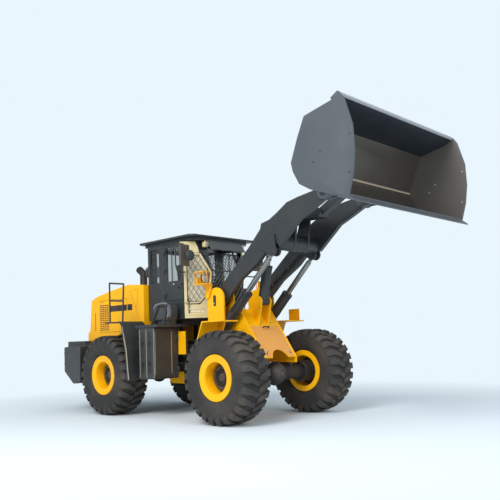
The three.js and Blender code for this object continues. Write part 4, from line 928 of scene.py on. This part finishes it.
# %% Hood louvres, bands and arch trims
LOUVRE_ROWS, LOUVRE_COLUMNS = 14, 4
SEAM_PATH = [(-1.36, 2.40), (-1.12, 2.44), (-1.14, 2.10), (-1.20, 2.09), (-1.36, 2.38), (-1.36, 2.40)]
SEAMS = list(zip(SEAM_PATH, SEAM_PATH[1:])) + [((-1.20, 2.09), (-1.08, 1.80))]
AXLE_SPOT = (REAR_AXLE.x, REAR_AXLE.z)
ARCH = circle_points(AXLE_SPOT, 0.83, 30, 82, 18) + circle_points(AXLE_SPOT, 0.80, 82, 30, 18)
for side, s in SIDES:
    leaf = f"hood_door_{side}_leaf"
    lips, slots = bmesh.new(), bmesh.new()
    for row in range(LOUVRE_ROWS):
        z = 1.655 + row * 0.039
        for column in range(LOUVRE_COLUMNS):
            x = -2.445 + column * 0.084
            add_box(slots, at(x, s * 0.8495, z), at(x + 0.066, s * 0.8520, z + 0.022))
            add_box(lips, at(x - 0.002, s * 0.8500, z + 0.020), at(x + 0.068, s * 0.8590, z + 0.028))
    piece(f"louvre_lips_{side}", lips, YELLOW, leaf)
    # Thin dark plates under each lip: painted shade in the louvre openings.
    piece(f"louvre_slots_{side}", slots, MOULDED, leaf)
    for body, name, x0, x1, lean in (
        (leaf, "door", -2.06, -1.492, 0.03), ("root", "hood", -1.466, -1.31, 0.0),
    ):
        band = bmesh.new()
        outline = [(x0 - lean, 2.15), (x0, 2.03), (x1, 2.03), (x1, 2.15)]
        hinge_plate(band, outline, s * 0.849, s * 0.8535)
        piece(f"hood_band_{name}_{side}", band, RUBBER, body, bevel=0.001)
    seams = bmesh.new()
    flank = axes_frame(Vector((1, 0, 0)), Vector((0, 0, 1)), Vector((0, s, 0)), at(0, s * 0.85, 0))
    for a, b in SEAMS:
        strip(seams, flank, a, b, 0.006, -0.001, 0.0015)
    strip(seams, flank, (-2.62, 1.66), (-2.62, 2.02), 0.026, -0.001, 0.002)
    piece(f"hood_seams_{side}", seams, AMBER_SEAM, "root")
    trim = bmesh.new()
    side_plate(trim, ARCH, s * 0.852, s * 1.04)
    piece(f"rear_arch_trim_{side}", trim, YELLOW, "root", bevel=0.003)
    marker = bmesh.new()
    edge = [at(x, s * 1.388, z) for x, z in ((-0.905, 1.70), (-0.782, 1.24), (-0.722, 0.70))]
    add_tube(marker, edge, 0.011, 0.04)
    piece(f"fender_edge_{side}", marker, PALE_STEEL, "root")
print("louvres, bands and trims are on both sides")

# %% [markdown]
# The exhaust gets a black finish, the pre-cleaner a sand stripe and two zinc clamp bands.
# The grille door has slats, and the rear lamps sit in boxes on the counterweight.

# %% Stack, pre-cleaner, grille and rear lamps
soften("exhaust_stack", RUBBER, 0.003)
soften("air_precleaner", MOULDED, 0.006)
bm = bmesh.new()
stack = at(-1.71, 0, 0)
STRIPE_RADIUS, STRIPE_LOW, STRIPE_HIGH = 0.1625, 2.785, 2.915


def stripe_point(angle, height):
    x, y = STRIPE_RADIUS * cos(radians(angle)), STRIPE_RADIUS * sin(radians(angle))
    return stack + Vector((x, y, height))


for start in range(-62, -30, 6):
    end = start + 6
    out = Vector((cos(radians(start)), sin(radians(start)), 0)) * 0.003
    low = [stripe_point(start, STRIPE_LOW), stripe_point(end, STRIPE_LOW)]
    add_plate(bm, low + [stripe_point(end, STRIPE_HIGH), stripe_point(start, STRIPE_HIGH)], out)
piece("precleaner_stripe", bm, SAND, "root")
bm = bmesh.new()
add_band(bm, stack + Vector((0, 0, 2.925)), (0, 0, 1), 0.150, 0.166, 0.0, 0.012)
add_band(bm, stack + Vector((0, 0, 2.60)), (0, 0, 1), 0.070, 0.082, 0.0, 0.02, 32)
piece("precleaner_clamps", bm, ZINC, "root")

bm = bmesh.new()
for row in range(15):
    z = 1.725 + row * 0.033
    x = -2.830 + 0.070 * (z - 1.66) / 0.63
    add_box(bm, at(x - 0.012, -0.55, z), at(x + 0.006, 0.55, z + 0.012))
for y in (-0.56, -0.19, 0.19, 0.56):
    add_rod(bm, at(-2.838, y, 1.70), at(-2.770, y, 2.23), 0.012, 8)
piece("grille_slats", bm, DARK, "grille_door", bevel=0.002)

bm, red, amber = bmesh.new(), bmesh.new(), bmesh.new()
LENS_BACK, LENS_FRONT, LAMP_HEIGHT = -3.345, -3.331, 1.38
for side, s in SIDES:
    add_box(bm, at(-3.332, s * 0.92, 1.33), at(-3.318, s * 1.08, 1.43))
    for lens, y in ((red, s * 0.96), (amber, s * 1.04)):
        add_rod(lens, at(LENS_BACK, y, LAMP_HEIGHT), at(LENS_FRONT, y, LAMP_HEIGHT), 0.034, 24)
    for x, z in ((-3.30, 1.20), (-3.05, 1.22), (-3.30, 0.98), (-3.05, 1.0)):
        y = 1.150 + (x + 3.36) * 0.65
        add_rod(bm, at(x, s * (y - 0.02), z), at(x, s * min(y + 0.012, 1.34), z), 0.016, 6)
piece("rear_fittings", bm, CASTING, "root", bevel=0.002)
piece("rear_red_lenses", red, RED_LENS, "root", bevel=0.002)
piece("rear_amber_lenses", amber, AMBER_LENS, "root", bevel=0.002)
print("rear fittings are on")

# %% [markdown]
# ## Deck and side box
# A moulded cover stands on the right deck, a soft box with a slightly raised band round
# its shoulders. The band's lighter grey is a painted highlight.

# %% Deck cover
bm = bmesh.new()
outline = [
    (-0.33, 1.76), (-0.37, 1.98), (-0.31, 2.07), (-0.06, 2.10), (0.05, 2.03), (0.08, 1.90),
    (0.02, 1.76),
]
hinge_plate(bm, outline, -1.06, -0.80)
piece("deck_cover", bm, MOULDED, "root", bevel=0.045, segments=5)
bm = bmesh.new()
# The raised band round the shoulders, in a lighter grey that is a painted highlight.
band = [
    (-0.376, 1.985), (-0.312, 2.077), (-0.06, 2.107), (0.056, 2.036), (0.087, 1.90), (0.055, 1.82),
    (0.022, 1.83), (0.050, 1.90), (0.026, 2.012), (-0.07, 2.070), (-0.295, 2.042), (-0.340, 1.975),
]
hinge_plate(bm, band, -1.066, -0.99)
piece("deck_cover_highlight_band", bm, SHOULDER_HIGHLIGHT, "root", bevel=0.010, segments=3)
bm = bmesh.new()
add_box(bm, at(-0.30, -1.02, 1.70), at(0.0, -0.82, 1.77))
piece("deck_cover_foot", bm, DARK, "root", bevel=0.004)
print("the deck cover stands on its foot")

# %% [markdown]
# The side box has pale edge strips, lift rods with latches, and two hinges. The strips and bolts
# on its door ride on the door. Two skirts hang below the rear frame.

# %% Side box fittings and skirts
SIDE_BOX_FACE, DOOR_FACE = -1.2495, -0.111
strips, rods, latches = bmesh.new(), bmesh.new(), bmesh.new()
for x in (-0.545, -0.345, -0.125):
    add_box(strips, at(x - 0.006, SIDE_BOX_FACE, 0.73), at(x + 0.006, -1.2545, 1.62))
for x in (-0.47, -0.27):
    run = [at(x, y, z) for y, z in ((-1.250, 0.84), (-1.278, 0.84), (-1.278, 1.54), (-1.250, 1.54))]
    add_tube(rods, run, 0.009, 0.03)
for x, z in ((-0.47, 1.36), (-0.27, 1.36), (-0.47, 0.98), (-0.27, 0.99)):
    add_box(latches, at(x - 0.035, SIDE_BOX_FACE, z - 0.028), at(x + 0.035, -1.268, z + 0.028))
    add_rod(latches, at(x - 0.03, -1.275, z), at(x + 0.03, -1.275, z), 0.007, 10)
piece("side_box_strips", strips, PALE_STEEL, "root")
piece("side_box_rods", rods, DARK, "root")
piece("side_box_latches", latches, CASTING, "root", bevel=0.003)
strips, bolts = bmesh.new(), bmesh.new()
add_box(strips, at(DOOR_FACE, -0.862, 0.80), at(-0.105, -0.848, 1.57))
add_box(strips, at(DOOR_FACE, -1.242, 0.80), at(-0.106, -1.232, 1.57))
for z in (1.52, 1.02, 0.90):
    add_rod(bolts, at(-0.112, -0.915, z), at(-0.1045, -0.915, z), 0.014, 6)
for z in (1.34, 0.96):
    add_box(bolts, at(DOOR_FACE, -0.80, z - 0.05), at(-0.1065, -0.735, z + 0.05))
    for dz in (-0.03, 0.03):
        for y in (-0.785, -0.75):
            add_rod(bolts, at(-0.107, y, z + dz), at(-0.1040, y, z + dz), 0.007, 6)
piece("side_box_door_strips", strips, PALE_STEEL, "side_box_leaf")
piece("side_box_door_fittings", bolts, CASTING, "side_box_leaf", bevel=0.001)

skirts = bmesh.new()
outline = [(-0.78, 0.80), (-0.74, 0.62), (-0.69, 0.575), (-0.34, 0.575), (-0.34, 0.80)]
for s in (-1, 1):
    hinge_plate(skirts, outline, s * 0.372, s * 0.398)
add_box(skirts, at(-0.095, -0.700, 1.14), at(0.116, -0.7035, 1.565))
piece("frame_skirts", skirts, YELLOW, "root", bevel=0.003)
print("side box and skirts are fitted")

# %% [markdown]
# ## Bucket
# The bucket's outside keeps its enamel. Inside, the floor is worn to brown steel, the side plates
# to grey, and the top panel is still dark blue. Each face is sorted by where it lies and which way
# it looks in the bucket's frame. A strip of primer edges the lip, and a pale strip along the bend
# above the floor is a painted highlight.

# %% Bucket faces and fittings
BUCKET_FINISHES = [BUCKET_GREY, WORN_STEEL, NIGHT_BLUE, WORN_SIDES]
OUTSIDE, FLOOR, TOP_PANEL, SIDE_PLATES = range(4)
bm = solid_copy("bucket")
bmesh.ops.recalc_face_normals(bm, faces=bm.faces)
to_bucket = BUCKET.inverted()
middle = Vector((0.62, 0, 0.55))
for face in bm.faces:
    centre = to_bucket @ face.calc_center_median()
    normal = to_bucket.to_3x3() @ face.normal
    inside = 0.13 < centre.x < 1.26 and 0.005 < centre.z < 1.30 and abs(centre.y) < 1.553
    if not inside or (middle - centre).dot(normal) <= 0:
        face.material_index = OUTSIDE
    elif abs(normal.y) > 0.5:
        face.material_index = SIDE_PLATES
    else:
        face.material_index = TOP_PANEL if centre.z > 0.90 else FLOOR
mesh = bpy.data.meshes.new("bucket_worn")
bm.to_mesh(mesh)
bm.free()
finish_piece(
    "bucket_worn", mesh, BUCKET_FINISHES, "bucket", ["bucket"], 0.003, 2, 35,
)

light, bend, bolts, holes, daylight_discs = (bmesh.new() for _ in range(5))
lip = [
    (0.6780, 1.2757), (0.699, 1.296), (0.678, 1.313), (0.6805, 1.3170), (0.7045, 1.2985),
    (0.6838, 1.2708),
]
side_plate(light, lip, -1.549, 1.549, BUCKET)
piece("bucket_top_strip", light, PRIMED_LIP, "bucket")
# A thin pale strip along the bend above the floor: a painted highlight.
shape = [(0.1440, 0.2940), (0.1620, 0.2660), (0.1645, 0.2675), (0.1465, 0.2955)]
side_plate(bend, shape, -1.55, 1.55, BUCKET)
piece("bucket_bend_highlight", bend, BEND_HIGHLIGHT, "bucket")
for i in range(16):
    y = -1.44 + i * 0.192 + (0.03 if i % 2 else -0.03)
    add_rod(bolts, BUCKET @ Vector((1.165, y, 0.010)), BUCKET @ Vector((1.163, y, 0.027)), 0.014, 6)
piece("bucket_edge_bolts", bolts, ZINC, "bucket", bevel=0.001)
# Dark discs on the outer faces are painted shade in the side plates' holes; pale discs on the inner faces
# are painted light, the daylight seen through those holes.
for s in (-1, 1):
    for x, z in ((1.016, 0.797), (1.155, 0.312), (0.590, 0.513), (0.518, 0.359)):
        for bm, y0, y1 in ((holes, 1.576, 1.5815), (daylight_discs, 1.552, 1.546)):
            ends = [BUCKET @ Vector((x, s * y, z)) for y in (y0, y1)]
            add_rod(bm, *ends, 0.013, 16)
piece("bucket_side_holes", holes, RUBBER, "bucket")
piece("bucket_side_painted_daylight", daylight_discs, PRIMED_LIP, "bucket")
print("bucket fitted: three worn finishes, top strip, bend, bolts")

# %% [markdown]
# ## Pins, pipes and glands
# The linkage's pins show stepped ends with a bolt head on the arms and the bellcrank.


# %% Pin ends
def pin_end(bm, centre, s, face, radius):
    start = Vector((centre.x, s * face, centre.z))
    out = Vector((0, s, 0))
    add_rod(bm, start - out * 0.002, start + out * 0.008, radius, 28)
    add_rod(bm, start, start + out * 0.014, radius * 0.62, 28)
    add_rod(bm, start, start + out * 0.020, radius * 0.20, 6)


LIFT_EYE = BOOM @ Vector((1.475, 0, -0.075))
boom_pins, keepers, bucket_pins, crank_pins, arm_holes, tower_slots = (bmesh.new() for _ in range(6))
for side, s in SIDES:
    pin_end(boom_pins, LIFT_EYE, s, 0.561, 0.060)
    pin_end(boom_pins, BOOM_PIN, s, 0.561, 0.075)
    pin_end(bucket_pins, BUCKET_PIN, s, 0.611, 0.058)
    pin_end(crank_pins, CRANK_PIN, s, 0.141, 0.060)
    slot_shape = circle_points((0.885 + STEER_PIN.x, 2.145), 0.036, 0, 180, 10)
    slot_shape += circle_points((0.885 + STEER_PIN.x, 2.015), 0.036, 180, 360, 10)
    side_plate(tower_slots, slot_shape, s * 0.659, s * 0.6625)
    keeper = at(0.875, s * 0.6615, 2.03)
    add_rod(keepers, keeper, keeper + Vector((0, s * 0.010, 0)), 0.018, 6)
    for i in range(3):
        spot = BOOM @ Vector((1.58 + 0.075 * i, s * 0.5595, 0.20 + 0.02 * i))
        add_rod(arm_holes, spot, spot + Vector((0, s * 0.0030, 0)), 0.013, 14)
piece("boom_pin_ends", boom_pins, CASTING, "boom", bevel=0.0015)
piece("tower_keepers", keepers, ZINC, "front", bevel=0.002)
piece("bucket_pin_ends", bucket_pins, CASTING, "bucket", bevel=0.0015)
piece("bellcrank_pin_ends", crank_pins, CASTING, "bellcrank", bevel=0.0015)
# Dark discs on the arms and dark slots in the tower plates: painted shade in the openings.
piece("arm_holes", arm_holes, RUBBER, "boom")
piece("tower_slots", tower_slots, RUBBER, "front")
print("pin ends are on")

# %% [markdown]
# Steel pipes run along the boom's arms, held by clamps, and a short one feeds each lift cylinder.
# A band marks the gland where a cylinder's rod comes out.

# %% Pipes and gland bands
pipes, clamps = bmesh.new(), bmesh.new()
for side, s in SIDES:
    for v in (0.02, 0.055):
        bends = ((0.30, v), (0.95, v + 0.02), (1.38, v + 0.06))
        add_tube(pipes, [BOOM @ Vector((u, s * 0.466, w)) for u, w in bends], 0.010, 0.10)
    for u, v in ((0.42, 0.037), (0.90, 0.055), (1.30, 0.085)):
        place = BOOM @ Matrix.Translation((u, s * 0.470, v))
        add_box(clamps, (-0.018, -0.012, -0.040), (0.018, 0.012, 0.040), place)
piece("boom_pipes", pipes, CASTING, "boom")
piece("boom_pipe_clamps", clamps, DARK, "boom", bevel=0.002)

LIFT_BASE = at(0.80, 0, 1.42)
LIFT_RUN = (LIFT_EYE - LIFT_BASE).normalized()
TILT_BASE = at(1.44, 0, 2.05)
TILT_EYE = Vector((CRANK_PIN.x - 0.660, 0, CRANK_PIN.z - 0.230))
TILT_RUN = (TILT_EYE - TILT_BASE).normalized()
for side, s in SIDES:
    body = f"lift_barrel_{side}"
    base = LIFT_BASE + Vector((0, s * 0.52, 0))
    bands, pipe = bmesh.new(), bmesh.new()
    add_band(bands, base, LIFT_RUN, 0.094, 0.098, 1.050, 1.086)
    add_band(bands, base, LIFT_RUN, 0.094, 0.0975, 0.640, 0.660)
    piece(f"lift_gland_{side}", bands, CASTING, body)
    out = Vector((0, s * 0.104, 0))
    bends = ((0.62, 0.86), (0.66, 1.06), (0.98, 1.06), (1.03, 0.86))
    add_tube(pipe, [base + LIFT_RUN * t + out * k for t, k in bends], 0.010, 0.04)
    port = base + LIFT_RUN * 1.03
    add_rod(pipe, port + out * 0.88, port + out * 1.22, 0.024, 12)
    piece(f"lift_pipe_{side}", pipe, BLUE_STEEL, body)
bands = bmesh.new()
add_band(bands, TILT_BASE, TILT_RUN, 0.089, 0.0935, 0.595, 0.636)
piece("tilt_gland", bands, CASTING, "tilt_barrel")
print("pipes and gland bands are on")

# %% [markdown]
# ## Front frame and axles
# The sloping nose plate carries a dustier sheet with a notched foot, bolts and holes low down and a
# lifting handle. An upright stands by the left fender's front edge.

# %% Nose plate, handle and upright
SLOPE_TOP, SLOPE_FOOT = at(1.24, 0, 1.92), at(1.83, 0, 1.05)
SLOPE = (SLOPE_FOOT - SLOPE_TOP).normalized()
SLOPE_OUT = Vector((-SLOPE.z, 0, SLOPE.x))
bolts, dark, handle = bmesh.new(), bmesh.new(), bmesh.new()
for s in (-1, 1):
    spot = SLOPE_TOP + SLOPE * 0.90 + Vector((0, s * 0.27, 0))
    add_rod(bolts, spot - SLOPE_OUT * 0.004, spot + SLOPE_OUT * 0.014, 0.020, 6)
    spot = SLOPE_TOP + SLOPE * 0.96 + Vector((0, s * 0.30, 0))
    add_rod(dark, spot - SLOPE_OUT * 0.003, spot + SLOPE_OUT * 0.003, 0.016, 16)
    for reach in (0.30, 0.55, 0.80):
        spot = SLOPE_TOP + SLOPE * reach + Vector((0, s * 0.33, 0))
        add_rod(dark, spot - SLOPE_OUT * 0.003, spot + SLOPE_OUT * 0.002, 0.006, 10)
grip = SLOPE_TOP + SLOPE * 0.42
feet = [grip + Vector((0, y, 0)) for y in (-0.07, 0.07)]
rise = SLOPE_OUT * 0.04
add_tube(handle, [feet[0], feet[0] + rise, feet[1] + rise, feet[1]], 0.010, 0.03)
piece("nose_bolts", bolts, ZINC, "front", bevel=0.002)
# The dark discs on the nose plate are painted shade in its holes.
piece("nose_holes", dark, RUBBER, "front")
piece("nose_handle", handle, CASTING, "front")

sheet = bmesh.new()
half = [(0.375, 0.365), (1.035, 0.365), (1.035, 0.222), (0.975, 0.184), (0.925, 0.135), (0.895, 0.072)]
shape = half + [(0.880, 0.0)] + [(reach, -y) for reach, y in reversed(half)]
start = SLOPE_TOP - SLOPE_OUT * 0.008
outline = [start + SLOPE * reach + Vector((0, y, 0)) for reach, y in shape]
add_plate(sheet, outline, SLOPE_OUT * 0.0075)
piece("nose_plate_sheet", sheet, DUSTY_YELLOW, "front")

upright = bmesh.new()
add_box(upright, at(1.10, 1.078, 1.705), at(1.36, 1.089, 1.93))
piece("left_fender_upright", upright, YELLOW, "front", bevel=0.003)

print("nose plate and upright are on")

# %% [markdown]
# Each differential has a bolted ring, and the front one a smooth, oily round nose.

# %% Differential rings
RING_BOLTS = 16
FRONT_DIFF = Vector((FRONT_AXLE.x + 0.08, 0, FRONT_AXLE.z))
REAR_DIFF = Vector((REAR_AXLE.x, 0, REAR_AXLE.z))
for end, centre, body, way in (("front", FRONT_DIFF, "front", 1), ("rear", REAR_DIFF, "root", -1)):
    ring = bmesh.new()
    add_band(ring, centre, (way, 0, 0), 0.150, 0.212, -0.03, -0.005, 56)
    tail = centre + Vector((way * -0.036, 0, 0.205))
    tip = centre + Vector((way * 0.002, 0, 0.205))
    add_spun(ring, lambda: add_rod(ring, tail, tip, 0.009, 6), centre, RING_BOLTS, (1, 0, 0))
    piece(f"{end}_diff_ring", ring, CASTING, body, bevel=0.001)
nose = bmesh.new()
profile = [(0.0, 0.206), (0.045, 0.204), (0.062, 0.194), (0.068, 0.185), (0.0, 0.180)]
add_turned(nose, profile, FRONT_DIFF, (1, 0, 0), 32)
piece("front_diff_nose", nose, OILY, "front")
print("differential rings: 2, with", RING_BOLTS, "bolts each")

# %% [markdown]
# ## Driver's place
# The seat has two cushions. Each is a box with its faces divided and pushed out in a soft dome, and
# a subdivision modifier rounds what is left. The steering wheel is a turned ring with three spokes.


# %% Seat and steering wheel
def cushion(name, low, high, swell, turn):
    bm = bmesh.new()
    bmesh.ops.create_cube(bm, size=2)
    bmesh.ops.subdivide_edges(bm, edges=bm.edges, cuts=7, use_grid_fill=True)
    half, centre = (Vector(high) - Vector(low)) / 2, (Vector(high) + Vector(low)) / 2
    for vert in bm.verts:
        x, y, z = vert.co
        in_x, in_y, in_z = 1 - x * x, 1 - y * y, 1 - z * z
        dome = in_x * in_y + in_y * in_z * 0.5 + in_x * in_z * 0.5
        seam = 0.012 * max(0.0, 1 - abs(abs(y) - 0.5) / 0.12)
        scale = 1 + swell * dome - (seam if z > 0.9 else 0)
        vert.co = Vector((x * half.x, y * half.y, z * half.z * scale)) + centre
    made = piece(name, bm, SEAT_CLOTH, "root", turn=turn)
    rounding = made.modifiers.new("soft corners", "SUBSURF")
    rounding.levels = rounding.render_levels = 1


SEAT = Matrix.Translation(at(-0.34, 0, 1.84))
cushion("seat_cushion", (-0.25, -0.25, 0.295), (0.25, 0.25, 0.435), 0.10, SEAT)
BACK = SEAT @ Matrix.Translation((-0.20, 0, 0.44)) @ Matrix.Rotation(radians(-6), 4, "Y")
cushion("seat_back", (-0.055, -0.24, 0.0), (0.055, 0.24, 0.62), 0.02, BACK)
bm = bmesh.new()
add_box(bm, at(-0.56, -0.20, 1.84), at(-0.14, 0.20, 2.12))
add_box(bm, at(-0.60, -0.24, 2.11), at(-0.10, 0.24, 2.145))
add_box(bm, at(-0.60, -0.22, 2.14), at(-0.575, 0.22, 2.84))
piece("seat_frame", bm, MOULDED, "root", ["seat"], bevel=0.012, segments=3)

WHEEL_AXIS = Vector((-0.30, 0, 1)).normalized()
hub = at(0.195, 0, 2.54)
bm = bmesh.new()
rim = [(0.186 + 0.013 * cos(a), 0.013 * sin(a)) for a in (tau * i / 10 for i in range(10))]
add_turned(bm, rim, hub, WHEEL_AXIS, 48)
add_rod(bm, hub - WHEEL_AXIS * 0.03, hub + WHEEL_AXIS * 0.008, 0.035, 20)
LEFT = Vector((0, 1, 0))
for angle in (90, 210, 330):
    spoke = LEFT * cos(radians(angle)) + WHEEL_AXIS.cross(LEFT) * sin(radians(angle))
    add_rod(bm, hub, hub + spoke * 0.184, 0.009, 8)
add_rod(bm, at(0.225, 0, 2.44), hub, 0.018, 14)
column = [(0.21, 1.842), (0.33, 1.842), (0.25, 2.48), (0.20, 2.48)]
hinge_plate(bm, column, -0.07, 0.07)
piece("steering_wheel", bm, MOULDED, "root", ["steering_column"], bevel=0.004)
print("seat and steering wheel are in")

# %% [markdown]
# ## Stage and light
# A pale floor and a pale sky keep every edge readable. A big soft light stands high on the near
# side, a weaker one lights the front, and the sky does the rest.

# %% Floor, sky and lamps
SKY_COLOUR = "EAF6FD"
floor_bm = bmesh.new()
bmesh.ops.create_grid(floor_bm, x_segments=1, y_segments=1, size=60)
floor_mesh = bpy.data.meshes.new("floor")
floor_bm.to_mesh(floor_mesh)
floor_bm.free()
floor = bpy.data.objects.new("floor", floor_mesh)
bpy.context.scene.collection.objects.link(floor)
floor_material, floor_tree, floor_shader = new_material("pale floor")
feed(floor_tree, floor_shader, Base_Color=srgb("E2ECF3"), Roughness=0.9)
reach = add_node(floor_tree, "VectorMath", operation="LENGTH")
floor_tree.links.new(add_node(floor_tree, "TexCoord").outputs["Object"], reach.inputs[0])
far = spread(floor_tree, reach.outputs["Value"], 4.0, 9.0)
glow = add_node(floor_tree, "Emission")
feed(floor_tree, glow, Color=srgb(SKY_COLOUR))
blend = add_node(floor_tree, "MixShader")
for index, source in enumerate((far, floor_shader.outputs[0], glow.outputs[0])):
    floor_tree.links.new(source, blend.inputs[index])
floor_tree.links.new(blend.outputs[0], floor_tree.nodes["Material Output"].inputs["Surface"])
floor_mesh.materials.append(floor_material)

world = bpy.data.worlds.new("pale sky")
bpy.context.scene.world = world
world.use_nodes = True
sky = world.node_tree.nodes["Background"]
sky_rays = add_node(world.node_tree, "LightPath").outputs["Is Camera Ray"]
strength = spread(world.node_tree, sky_rays, 0, 1, 0.62, 1.0)
feed(world.node_tree, sky, Color=srgb(SKY_COLOUR), Strength=strength)


def add_lamp(name, place, target, size, power, colour=(1, 1, 1)):
    data = bpy.data.lights.new(name, "AREA")
    data.shape = "DISK"
    data.size = size
    data.energy = power
    data.color = colour
    lamp = bpy.data.objects.new(name, data)
    lamp.location = place
    lamp.rotation_euler = (Vector(target) - Vector(place)).to_track_quat("-Z", "Y").to_euler()
    bpy.context.scene.collection.objects.link(lamp)


add_lamp("key light", (4, -11, 10), (0, 0, 1.4), 7, 1500, (1.0, 0.98, 0.95))
add_lamp("front light", (13, -2, 6), (1, 0, 1.4), 6, 500)
scene = bpy.context.scene
scene.view_settings.view_transform = "Standard"
scene.render.film_transparent = False
